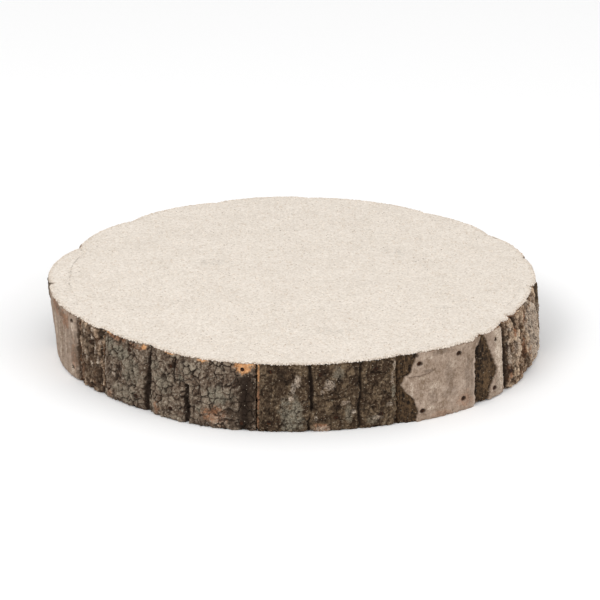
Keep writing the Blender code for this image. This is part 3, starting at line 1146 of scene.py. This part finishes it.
BARKS = {
    "plated": Bark(4.4, 4.8, 0.9, 1.3, 0.5, 1.0, 0.45, 0.06, 0.7, 0.6, 0.1, 0.45, 0.6, 0.8),
    "furrowed": Bark(4.2, 6.5, 1.0, 2.4, 0.5, 0.6, 0.5, 0.05, 0.6, 0.6, 0.3, 0.45, 1.1, 1.0),
    "flaky": Bark(4.2, 5.2, 1.0, 2.4, 0.5, 0.8, 0.5, 0.05, 1.0, 0.9, 0.15, 0.45, 1.0, 1.0),
    "smooth": Bark(9.0, 16.0, 1.0, 4.0, 0.3, 0.05, 0.0, 0.0, 0.05, 0.08, 0.1, 0.1, 0.2, 0.6),
}
MOST_PROUD = 0.33  # mm that relief may stand out, just under the drop of the skin


# %% The relief tree
def bark_relief():
    names = [field.replace("_", " ").capitalize() for field in Bark._fields]
    tree, given = geometry_tree("bark_relief", [*names, "Seed"])
    size = {field: given[name] for field, name in zip(Bark._fields, names)}
    across, up, seed = stored(tree, "across"), stored(tree, "up"), given["Seed"]
    place = point(tree, across, up, seed)
    drift = out(tree, "ShaderNodeTexNoise", {"Vector": place, "Scale": 0.33}, output=1)
    warp_x, warp_y = (wire - 0.5 for wire in parts(tree, drift)[:2])

    # The plates, and the cracks between them. Cracks open in some areas and nearly close in others.
    x = (across + warp_x * size["warp"] * 2) / size["cell_width"]
    y = (up + warp_y * size["warp"] * 3) / size["cell_height"]
    plate = point(tree, x, y, seed)
    edge = cells(tree, plate, DISTANCE, "DISTANCE_TO_EDGE", size["jitter"]) * size["cell_width"]
    opened = noise(tree, place, 0.14, 2.0).between(0.38, 0.6) * 0.75 + 0.25
    crack = (1 - edge.between(0.0, size["crack_width"])) * opened
    tone, lean_x, lean_y = parts(tree, cells(tree, plate, COLOUR, jitter=size["jitter"]))
    centre_x, centre_y, _ = parts(tree, cells(tree, plate, CENTRE, jitter=size["jitter"]))
    tilt = ((lean_x - 0.5) * (x - centre_x) + (lean_y - 0.5) * (y - centre_y)) * 2 * size["tilt"]
    dome = edge.between(0.0, 1.4) * size["dome"]
    step = (tone - 0.6) * size["step"]
    small = scaled(tree, point(tree, across + warp_x * 3, up + warp_y * 3, seed), 0.7)
    chosen = parts(tree, cells(tree, small, COLOUR))[0]
    chip = (1 - chosen).between(0.2, 0.9, soft=False) * size["chip_depth"]

    # Fibres, grain and lumps
    fibre = (noise(tree, point(tree, across * 1.5, up * 0.16, seed), 1.0, 4.0) - 0.5) * 2
    grain = (noise(tree, place, 1.1, 3.0, 0.7) - 0.5) * 2
    lumps = (noise(tree, point(tree, across, up * 0.65, seed), 0.36, 5.0, 0.62) - 0.52) * 2
    swell = (noise(tree, point(tree, across, up * 0.5, seed), 0.11, 2.0) - 0.6) * 2
    whole = dome + step + tilt + lumps * size["rugged"] - crack * size["crack_depth"] - chip
    whole = whole + fibre * size["fibre"] + grain * size["grain"]
    crust = stored(tree, "moss") * (0.62 - cells(tree, place, DISTANCE)) * 0.7
    flakes = stored(tree, "flake") * (grain + 0.5) * 0.4
    peeled = stored(tree, "peeled")
    fibres = fibre * 0.3 + grain * 0.5 + lumps * 0.7 - 0.25
    mixed = whole * (1 - peeled) + fibres * peeled + crust + flakes + swell * size["swell"]

    # Move each point straight out from the slice's middle
    offset = mixed.math("MINIMUM", MOST_PROUD) * stored(tree, "skin") * (1 - stored(tree, "calm"))
    flat = flattened(tree, out(tree, "GeometryNodeInputPosition"))
    move = scaled(tree, vector_math(tree, "NORMALIZE", flat), offset * MM)
    # hollow: how far into a crack each point lies, which the finish uses for painted shade.
    hollow = (crack * size["crack_depth"] * 1.2).math("MINIMUM", 1.0) * (1 - peeled)
    shape = store(tree, given["Geometry"], "hollow", hollow)
    shape = store(tree, shape, "tone", tone)
    shape = store(tree, shape, "relief", mixed)
    shape = out(tree, "GeometryNodeSetPosition", {"Geometry": shape, "Offset": move})
    end_tree(tree, shape, given["Material"])
    return tree, names


RELIEF, RELIEF_SIZES = bark_relief()
print("relief tree has", len(RELIEF.nodes), "nodes")

# %% [markdown]
# ## Bark finishes
# Weathered bark is grey outside and brown in its cracks. Each finish starts from clouds and streaks
# of two greys, gives every plate a tone of its own, and paints the patches over that: grey-green
# lichen, rusty cork, pale flakes, dark marks that are partly stains and partly painted shade, and
# orange inner bark. What lies deep is darkened as painted shade, and the sawn or split edges show the
# red-brown layers inside the bark.


# %% Colour tools
def paint(red, green, blue):
    """A colour by its usual 0 to 255 numbers, as the linear values that Blender uses."""
    shares = [c / 255 for c in (red, green, blue)]
    straight = [((c + 0.055) / 1.055) ** 2.4 if c > 0.04 else c / 12.92 for c in shares]
    return (*straight, 1.0)


def tint(tree, share, below, above):
    """A colour between two others."""
    made = add(tree, "ShaderNodeMix", {0: share, 6: below, 7: above}, data_type="RGBA")
    return Wire(tree, made.outputs[2])


def read(tree, name):
    """A number that a piece's mesh carries at each point."""
    return out(tree, "ShaderNodeAttribute", output=2, attribute_name=name)


def add_bump(tree, shader, height, distance, strength=1.0):
    inputs = {"Height": height, "Distance": distance, "Strength": strength}
    tree.links.new(out(tree, "ShaderNodeBump", inputs).socket, shader.inputs["Normal"])


# %% The bark finishes
class Palette(NamedTuple):
    deep: tuple
    dark: tuple
    light: tuple
    pale: tuple
    contrast: float  # how strongly small dark and pale bits show


def palette(deep, dark, light, pale, contrast):
    return Palette(paint(*deep), paint(*dark), paint(*light), paint(*pale), contrast)


PALETTES = {
    "plated": palette((36, 25, 17), (90, 72, 58), (146, 132, 115), (186, 176, 160), 0.9),
    "furrowed": palette((28, 18, 10), (58, 42, 28), (113, 95, 74), (162, 146, 124), 0.9),
    "flaky": palette((34, 21, 12), (104, 78, 58), (200, 175, 148), (228, 210, 188), 0.75),
    "smooth": palette((60, 42, 28), (126, 106, 88), (176, 157, 141), (200, 183, 168), 0.36),
}
MOSS = paint(92, 84, 71), paint(150, 141, 124)
BARE = paint(170, 118, 76), paint(230, 178, 128)
RUST = paint(94, 58, 38), paint(172, 127, 95)
STAIN_AND_SHADE = paint(30, 21, 13), paint(62, 46, 32)
FLAKE = paint(146, 127, 109), paint(218, 202, 184)
FIBRE = paint(22, 13, 6), paint(99, 77, 54)
CUT = paint(88, 60, 42), paint(150, 116, 88)
PALE_FLECK = paint(172, 160, 142)


def flecks(tree, place):
    """Small pale specks of crust, dotted here and there."""
    spot = 1 - cells(tree, place, DISTANCE).between(0.16, 0.3)
    chosen = parts(tree, cells(tree, place, COLOUR))[0]
    return spot * chosen.between(0.88, 0.9) * 0.7


def bark_finish(kind):
    tones = PALETTES[kind]
    made, tree, shader = new_finish("bark_" + kind)
    across, up = read(tree, "across"), read(tree, "up")
    place = point(tree, across, up)

    # Two greys in clouds and streaks, with a tone for each plate and small dark and pale bits
    cloud = noise(tree, place, 0.16, 4.0, 0.6)
    blotch = noise(tree, place, 0.45, 3.0, 0.6)
    speck = noise(tree, place, 1.3, 4.0, 0.7)
    streak = noise(tree, point(tree, across * 1.8, up * 0.2), 1.0, 4.0, 0.65)
    mottle = (cloud + blotch + speck + streak) / 4
    share = mottle.between(0.42, 0.6, soft=False)
    relief = read(tree, "relief")
    plate = (read(tree, "tone") - 0.5) * 0.3 + relief.between(-1.0, 0.5) * 0.5 - 0.25
    body = (share + plate).math("MINIMUM", 1.0).math("MAXIMUM", 0.0)
    colour = tint(tree, body, tones.dark, tones.light)
    bits = noise(tree, place, 0.62, 3.0, 0.68)
    colour = tint(tree, (1 - bits.between(0.36, 0.47)) * tones.contrast * 0.75, colour, tones.deep)
    colour = tint(tree, bits.between(0.56, 0.66) * tones.contrast * 0.6, colour, tones.pale)

    # The patches
    grit = speck.between(0.38, 0.62, soft=False)
    colour = tint(tree, read(tree, "moss") * blotch.between(0.3, 0.5), colour, tint(tree, grit, *MOSS))
    colour = tint(tree, read(tree, "rust") * blotch.between(0.35, 0.5), colour, tint(tree, share, *RUST))
    # Dark marks: stains on the bark, and painted shade along the seams, under the sand's edge and in the
    # nail holes.
    colour = tint(tree, read(tree, "stain") * 0.9, colour, tint(tree, grit, *STAIN_AND_SHADE))
    colour = tint(tree, read(tree, "flake") * speck.between(0.4, 0.52), colour, tint(tree, share, *FLAKE))

    # The dark fibres where the outer bark has come away, and the shade of cracks and hollows
    peeled = (streak * 0.35 + speck * 0.25 + blotch * 0.4).between(0.44, 0.6, soft=False)
    peeled = tint(tree, peeled + read(tree, "flake") * 0.5 - read(tree, "stain") * 0.3, *FIBRE)
    colour = tint(tree, read(tree, "peeled"), colour, peeled)
    # Painted shade: what lies deep in the relief, in the cracks between plates and in grooves, splits and
    # pits, is darkened towards the deep colour.
    sunk = (1 - relief.between(-1.8, -0.4)) * 0.8
    cut = read(tree, "cut").between(0.5, 1.6) * (1 - read(tree, "peeled"))
    dark = read(tree, "hollow").math("MAXIMUM", cut).math("MAXIMUM", sunk)
    colour = tint(tree, dark * 0.88, colour, tones.deep)
    colour = tint(tree, read(tree, "bare"), colour, tint(tree, share, *BARE))

    # The layers that show on the cut edges, and pale specks over all
    layers = noise(tree, out(tree, "ShaderNodeTexCoord", output=3), 900.0, 3.0).between(0.35, 0.65)
    colour = tint(tree, read(tree, "skin").between(0.1, 0.7), tint(tree, layers, *CUT), colour)
    colour = tint(tree, flecks(tree, place), colour, PALE_FLECK)
    dress(tree, shader, colour, 0.9, 0.2)
    add_bump(tree, shader, speck + streak * 0.5, 0.0004, 0.6)
    return made


FINISHES = {kind: bark_finish(kind) for kind in BARKS}
print("finishes:", sorted(FINISHES))


# %% Make the strips
def show(name, mesh):
    obj = bpy.data.objects.new(name, mesh)
    SCENE.collection.objects.link(obj)
    return obj


strips = {}
for node in STRIP_NAMES:
    look = LOOKS[node]
    piece = show("outer_" + node, strip_mesh(node))
    values = dict(zip(RELIEF_SIZES, BARKS[look.bark]))
    settle(piece, RELIEF, {**values, "Seed": float(node[-2:]) * 7.3, "Material": FINISHES[look.bark]})
    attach(piece, "root")
    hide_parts(node)
    strips[node] = piece
    print(piece.name, len(piece.data.polygons), "faces")

# %% [markdown]
# ## The coat of sand
# Pale sand is sprinkled into glue over the whole top, out to the edge of the bark. The coat is a thin
# slab whose crumbly edge closes the gap over the strips, with notches at a few seams and a faint dip
# where the core ends under it. Rings of points keep the spacing even from the middle to the edge,
# where a grid in rows and columns would crowd at the middle.


# %% The coat's edge
SAND_STEP = 1.25  # mm between points
TURN = 1440  # angles at which the edge is worked out


class Notch(NamedTuple):
    angle: float
    deep: float  # mm in from the edge
    wide: float  # mm, half its width


NOTCHES = (
    Notch(185.9, 4.5, 0.9),
    Notch(351.9, 3.0, 0.9),
    Notch(11.8, 1.2, 0.8),
    Notch(330.4, 4.0, 2.4),
    Notch(326.2, 1.2, 0.8),
    Notch(316.6, 2.6, 1.5),
    Notch(219.2, 1.6, 2.2),
    Notch(210.1, 1.0, 0.8),
    Notch(235.6, 0.9, 0.8),
    Notch(261.6, 0.8, 0.6),
    Notch(54.5, 1.4, 0.8),
    Notch(110.5, 1.6, 0.8),
)


def coat_edge():
    """The radius of the sand's edge at evenly spread angles, in mm: the frame's coat, crumbled."""
    tree = target(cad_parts["sand_coat"].data)
    bottom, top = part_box("sand_coat")
    middle = (bottom[2] + top[2]) / 2 / MM
    angles = np.arange(TURN) * 360 / TURN
    radii = np.array([cast(tree, angle, middle) for angle in angles])
    way = angles * MM_PER_DEGREE
    radii -= 0.5 * rough(way, way * 0, 1.2, 11) + 0.45 * rough(way, way * 0, 3.4, 12)
    for notch in NOTCHES:
        radii -= notch.deep * np.exp(-((aside(angles, notch.angle) / notch.wide) ** 2))
    return angles, radii


COAT_ANGLES, COAT_RADII = coat_edge()
print("sand edge from %.1f to %.1f mm out" % (COAT_RADII.min(), COAT_RADII.max()))

# %% The slab
CORE_EDGE = 137.5  # mm, where the core ends under the sand
GRAIN_HEIGHT = 0.72  # mm that loose grains may stand on the slab
DIPS = ((177, 22, 0.5), (343, 9, 0.28), (60, 40, 0.1))  # angle, degrees it fades over, depth in mm
CORE_FADE = 12.0  # mm in from the edge by which a ring has become a circle
UNDERSIDE = ((90, 9.0), (50, 9.0), (16, 4.0), (4, SAND_STEP))  # mm in from the edge, mm between points
ROUNDING = 0.7  # mm in from the edge at which the flat top starts
CLEAR = 400  # mm added to each place before it is looked up, which keeps them all positive


def ring(drop, height, step=SAND_STEP):
    """A ring of points this far in from the coat's edge, in mm. Deep inside it becomes a circle."""
    away = min(drop / CORE_FADE, 1.0)
    mean = COAT_RADII.mean()
    count = max(6, round(2 * math.pi * (mean - drop) / step))
    angles = np.arange(count) * 360 / count
    edge = np.interp(angles, COAT_ANGLES, COAT_RADII, period=360)
    radii = (edge * (1 - away) + mean * away) - drop
    return round_points(radii, angles, np.full(count, height))


def stack_rings(rings, bottom, top):
    """A closed solid through rings that run from the bottom's middle, out and up, to the top's middle."""
    points = np.concatenate([[(0, 0, bottom)], *rings, [(0, 0, top)]])
    starts = np.cumsum([1] + [len(one) for one in rings])
    loops = [[*range(start, start + len(one)), start] for start, one in zip(starts, rings)]
    faces = [(0, b, a) for a, b in zip(loops[0], loops[0][1:])]
    for lower, upper in zip(loops, loops[1:]):
        faces += stitch(upper, lower)
    last = len(points) - 1
    return points, faces + [(a, b, last) for a, b in zip(loops[-1], loops[-1][1:])]


def coat_dip(angles, radii):
    """How deep the faint dip over the core's edge is at these angles, in mm."""
    depth = np.zeros_like(radii)
    for angle, fade, deep in DIPS:
        turn = np.abs(half_turn(angles - angle))
        depth = np.maximum(depth, deep * (1 - rise(turn, fade * 0.4, fade)))
    return depth


def coat_mesh():
    base, top = (corner[2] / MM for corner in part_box("sand_coat"))
    face = top - GRAIN_HEIGHT
    strip_top = blocks[STRIP_NAMES[0]].top
    edge_line = [(1.0, strip_top), (0.25, strip_top), (0.0, base), (0.2, face - 0.1), (ROUNDING, face)]
    inward = np.arange(ROUNDING + SAND_STEP, COAT_RADII.mean() - 1.0, SAND_STEP)
    rings = [ring(drop, base, step) for drop, step in UNDERSIDE]
    rings += [ring(drop, height) for drop, height in edge_line]
    rings += [ring(drop, face) for drop in inward]
    points, faces = stack_rings(rings, base, face)
    radii = np.hypot(points[:, 0], points[:, 1])
    angles = np.degrees(np.arctan2(points[:, 1], points[:, 0])) % 360
    edge = np.interp(angles, COAT_ANGLES, COAT_RADII, period=360)
    upper = points[:, 2] > face - 0.05
    dip = coat_dip(angles, radii) * upper
    near_core_edge = np.exp(-(((radii - CORE_EDGE) / 1.0) ** 2))
    x, y = points[:, 0] + CLEAR, points[:, 1] + CLEAR
    swell = rough(x, y, 2.2, 31) * 0.22
    swell += rough(x, y, 14.0, 32) * 0.2 - 0.2
    points[:, 2] += upper * swell - dip * near_core_edge * 0.6
    mesh = bpy.data.meshes.new("sand")
    mesh.from_pydata((points * MM).tolist(), [], faces)
    rim = rise(radii - edge, -2.2, -0.4)
    worn_rim = rise(radii - edge, -3.0, -0.2) * rough(angles * MM_PER_DEGREE, radii, 3.0, 41)
    write_attributes(mesh, {"rim": rim, "worn": worn_rim, "dip": dip, "upper": upper})
    mesh.shade_smooth()
    return mesh


coat = show("sand_layer", coat_mesh())
print("coat:", len(coat.data.polygons), "faces")

# %% [markdown]
# ## Sand finish and loose grains
# The glued grains are too fine to model all over, so the finish gives each cell of under a millimetre
# its own tone and a rounded top. A scatter tree then lays real grains on the coat, more thickly along
# its edge, where they break the outline. Each grain is a small cube, turned and stretched at random.


# %% Sand finish
SMUDGES = ((-52, 23, 16, 9), (62, 40, 12, 14), (20, -96, 20, 7), (88, -60, 10, 8))  # x, y, width, depth


def in_mm(tree):
    """The place on the slice, in mm."""
    return scaled(tree, out(tree, "ShaderNodeTexCoord", output=3), 1 / MM)


def smudge(tree, place):
    """Faint grey marks on the sand."""
    total = None
    for x, y, width, depth in SMUDGES:
        moved = vector_math(tree, "SUBTRACT", place, (x, y, 0.0))
        squeezed = vector_math(tree, "MULTIPLY", moved, (1 / width, 1 / depth, 0.0))
        spot = 1 - length_of(tree, squeezed).between(0.2, 1.0)
        total = spot if total is None else total.math("MAXIMUM", spot)
    return total * noise(tree, place, 0.25, 3.0, 0.7).between(0.4, 0.6)


def dip_line(tree, place):
    """A thin dark line in the dip over the core's edge, which wanders a little."""
    radius = length_of(tree, flattened(tree, place))
    away = (radius - CORE_EDGE + (noise(tree, place, 0.09, 3.0, 0.6) - 0.5) * 5).math("ABSOLUTE")
    broken = noise(tree, place, 0.35, 2.0).between(0.3, 0.6)
    return (1 - away.between(0.1, 0.7)) * read(tree, "dip") * broken


def sand_finish():
    made, tree, shader = new_finish("sand")
    place = in_mm(tree)
    fine = scaled(tree, place, 1.25)
    tone, odd, _ = parts(tree, cells(tree, fine, COLOUR))
    share = tone * 0.62 + noise(tree, place, 0.06, 3.0) * 0.5 - 0.1
    share = share + (noise(tree, place, 0.55, 2.0) - 0.5) * 0.9
    share = share.math("MAXIMUM", 0.0).math("MINIMUM", 1.0)
    colour = tint(tree, share, paint(206, 195, 182), paint(241, 232, 221))
    colour = tint(tree, odd.between(0.99, 0.993) * 0.5, colour, paint(120, 106, 92))
    colour = tint(tree, smudge(tree, place) * 0.22, colour, paint(130, 126, 118))
    colour = tint(tree, dip_line(tree, place), colour, paint(112, 100, 86))
    crumb = read(tree, "worn") * noise(tree, place, 0.9, 3.0, 0.7).between(0.46, 0.62)
    colour = tint(tree, crumb * 0.75, colour, paint(128, 112, 90))
    glue = (1 - read(tree, "upper")) * noise(tree, place, 0.8, 3.0).between(0.4, 0.6)
    colour = tint(tree, glue * 0.7, colour, paint(120, 96, 72))
    dress(tree, shader, colour, 0.92, 0.3)
    add_bump(tree, shader, 1 - cells(tree, fine, DISTANCE), 0.0005, 0.6)
    return made


coat.data.materials.append(sand_finish())
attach(coat, "root")
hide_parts("sand_coat")


# %% Loose grains
# Grains in each square mm, on the coat and at its rim, then their sizes and depth in mm
GRAIN_SIZES = {"Grains": 0.15, "Rim grains": 1.6, "Smallest": 0.35, "Largest": 0.7, "Sunk": 0.12}


def random_number(tree, low, high, seed):
    """A number of its own for each grain."""
    return out(tree, "FunctionNodeRandomValue", {2: low, 3: high, "Seed": seed}, output=1)


def random_vector(tree, low, high, seed):
    """Three numbers of its own for each grain."""
    limits = {0: (low, low, low), 1: (high, high, high), "Seed": seed}
    return out(tree, "FunctionNodeRandomValue", limits, data_type="FLOAT_VECTOR")


def grain_tree():
    tree, given = geometry_tree("sand_grains", GRAIN_SIZES)
    faces_up = parts(tree, out(tree, "GeometryNodeInputNormal"))[2].math("GREATER_THAN", -0.3)
    density = (given["Grains"] + stored(tree, "rim") * given["Rim grains"]) * faces_up / MM**2
    spread_inputs = {"Mesh": given["Geometry"], "Density": density, "Seed": 7}
    spread = out(tree, "GeometryNodeDistributePointsOnFaces", spread_inputs, distribute_method="RANDOM")
    down = point(tree, 0.0, 0.0, given["Sunk"] * -MM)
    spread = out(tree, "GeometryNodeSetPosition", {"Geometry": spread, "Offset": down})
    cube = out(tree, "GeometryNodeMeshCube", {"Size": (MM, MM, MM)})
    size = random_number(tree, given["Smallest"], given["Largest"], 1)
    stretch = random_vector(tree, 0.75, 1.25, 2)
    turn = random_vector(tree, 0.0, math.tau, 3)
    placed = {"Points": spread, "Instance": cube, "Rotation": turn, "Scale": scaled(tree, stretch, size)}
    grains = out(tree, "GeometryNodeInstanceOnPoints", placed)
    grains = store(tree, grains, "grit", random_number(tree, 0.0, 1.0, 4), "INSTANCE")
    end_tree(tree, grains, given["Material"])
    return tree


def grain_finish():
    made, tree, shader = new_finish("sand_grain")
    colour = tint(tree, read(tree, "grit"), paint(196, 182, 166), paint(240, 230, 218))
    dark = read(tree, "grit").between(0.985, 0.99)
    colour = tint(tree, dark * 0.8, colour, paint(128, 112, 96))
    dress(tree, shader, colour, 0.75)
    return made


grains = show("sand_grains", coat.data.copy())
settle(grains, grain_tree(), {**GRAIN_SIZES, "Material": grain_finish()})
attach(grains, "root")
print("grains:", len(grains.data.polygons) // 6)

# %% [markdown]
# ## The core's sawn face
# The core is a slice across a trunk, and its underside shows the sawn end grain: growth rings round
# an off-centre pith, a few drying cracks that widen outwards, and the marks of the saw. The cracks
# and saw marks are cut into a fine disc, and the finish lays the rings and rays over it.


# %% The core
CORE_RADIUS = 137.1  # mm
PITH = (7.0, -5.0)  # mm, where the growth rings start
SAW_STEP = 1.5  # mm between points of the sawn face
BEVEL = 0.5  # mm off the core's lower edge


class Crack(NamedTuple):
    angle: float
    inner: float  # mm from the pith at which it closes
    wide: float  # mm, half its width at the bark
    deep: float


CRACKS = (
    Crack(38, 6, 1.5, 7.0),
    Crack(127, 62, 1.0, 4.0),
    Crack(205, 40, 1.2, 5.0),
    Crack(301, 84, 1.1, 3.0),
)


def level_ring(radius, height, step):
    count = max(6, round(2 * math.pi * radius / step))
    angles = np.arange(count) * 360 / count
    return round_points(np.full(count, radius), angles, np.full(count, height))


def crack_depth(x, y):
    """How deep the drying cracks are at each point of the sawn face, in mm."""
    depth = np.zeros_like(x)
    from_pith = np.hypot(x - PITH[0], y - PITH[1])
    turn = np.degrees(np.arctan2(y - PITH[1], x - PITH[0]))
    wander = (rough(from_pith + 60, from_pith * 0, 9.0, 51) - 0.5) * 2.4
    for crack in CRACKS:
        away = np.radians(half_turn(turn - crack.angle)) * from_pith + wander
        opened = rise(from_pith, crack.inner, CORE_RADIUS)
        width = 0.35 + crack.wide * opened
        begins = rise(from_pith, crack.inner, crack.inner + 12)
        depth = np.maximum(depth, crack.deep * begins * np.exp(-((away / width) ** 2)))
    return depth


def core_mesh():
    base, top = (corner[2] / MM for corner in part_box("core_disc"))
    radii = np.arange(SAW_STEP, CORE_RADIUS - 0.8, SAW_STEP)
    inward = [level_ring(radius, base, SAW_STEP) for radius in radii]

    # The wall, then the top under the sand, which needs few points
    wall = [level_ring(CORE_RADIUS - BEVEL, base, SAW_STEP), level_ring(CORE_RADIUS, base + BEVEL, SAW_STEP)]
    wall += [level_ring(CORE_RADIUS, top, 4.0), level_ring(90.0, top, 9.0)]
    points, faces = stack_rings(inward + wall, base, top)
    x, y = points[:, 0], points[:, 1]
    sawn = points[:, 2] < base + 0.1
    depth = crack_depth(x, y) * sawn
    slope = x * 0.94 + y * 0.34 + CLEAR
    marks = rough(slope, y * 0.02 + 40, 1.7, 52) * 0.16 + rough(slope, y * 0.05 + 60, 7.0, 53) * 0.22
    points[:, 2] += depth + sawn * marks
    mesh = bpy.data.meshes.new("core")
    mesh.from_pydata((points * MM).tolist(), [], faces)
    write_attributes(mesh, {"cut": depth})
    mesh.shade_smooth()
    return mesh


# %% Core finish
def end_grain_finish():
    made, tree, shader = new_finish("core_wood")
    place = in_mm(tree)
    flat = flattened(tree, vector_math(tree, "SUBTRACT", place, (*PITH, 0.0)))
    radius = length_of(tree, flat)
    bent = radius + (noise(tree, place, 0.02, 2.0) - 0.5) * 16 + (noise(tree, place, 0.12, 2.0) - 0.5) * 1.6
    year = (bent * 0.36).math("FRACT")
    late = year.between(0.45, 0.95) * (1 - year.between(0.95, 1.0))
    strength = noise(tree, point(tree, bent * 0.13), 1.0, 1.0).between(0.3, 0.7) * 0.6 + 0.3
    way = vector_math(tree, "ADD", vector_math(tree, "NORMALIZE", flat), radius * 0.004)
    rays = noise(tree, way, 46.0, 3.0, 0.7)
    pores = 1 - noise(tree, place, 2.4, 2.0, 0.7).between(0.3, 0.42)
    cloud = noise(tree, place, 0.03, 4.0, 0.6).between(0.3, 0.7)
    colour = tint(tree, cloud, paint(206, 168, 124), paint(228, 196, 154))
    colour = tint(tree, 1 - radius.between(18.0, 64.0), colour, paint(180, 132, 90))
    colour = tint(tree, late * strength, colour, paint(150, 104, 66))
    colour = tint(tree, rays.between(0.56, 0.7) * 0.35, colour, paint(240, 214, 176))
    colour = tint(tree, pores * 0.3, colour, paint(112, 76, 48))
    colour = tint(tree, radius.between(118.0, 138.0) * 0.3, colour, paint(140, 112, 84))
    # Painted shade: the drying cracks are darkened by their depth.
    colour = tint(tree, read(tree, "cut").between(0.15, 1.6) * 0.9, colour, paint(46, 30, 19))
    dress(tree, shader, colour, 0.8, 0.3)
    add_bump(tree, shader, noise(tree, place, 1.6, 3.0, 0.7) - late * 0.5, 0.0003, 0.5)
    return made


core = show("core_of_trunk_wood", core_mesh())
core.data.materials.append(end_grain_finish())
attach(core, "root")
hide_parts("core_disc")
print("core:", len(core.data.polygons), "faces")

# %% [markdown]
# ## The nails
# Short round-headed wire nails hold the bark on. They are nearly black, partly weathered steel and
# partly painted shade of the holes they sit in, with brown rust in blotches, so their finish is rough
# and shines little. They keep the frame's own shapes.


# %% Nail finish
def rusted_steel():
    made, tree, shader = new_finish("nail_steel")
    place = in_mm(tree)
    rusty = noise(tree, place, 0.9, 4.0, 0.7).between(0.42, 0.62)
    grit = noise(tree, place, 3.5, 2.0)
    # Nearly black: weathered steel, darkened further as painted shade of the nail holes.
    colour = tint(tree, rusty, paint(26, 19, 14), paint(72, 42, 25))
    colour = tint(tree, grit.between(0.6, 0.75) * 0.4, colour, paint(104, 66, 40))
    dress(tree, shader, colour, 0.62 + rusty * 0.3, 0.15)
    shader.inputs["Metallic"].default_value = 0.25
    add_bump(tree, shader, grit + rusty, 0.0001, 0.5)
    return made


nail_finish = rusted_steel()
nail_count = 0
for name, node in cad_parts.items():
    if name.startswith("nail"):
        node.data.materials.clear()
        node.data.materials.append(nail_finish)
        nail_count += 1
print("nails with their finish:", nail_count)
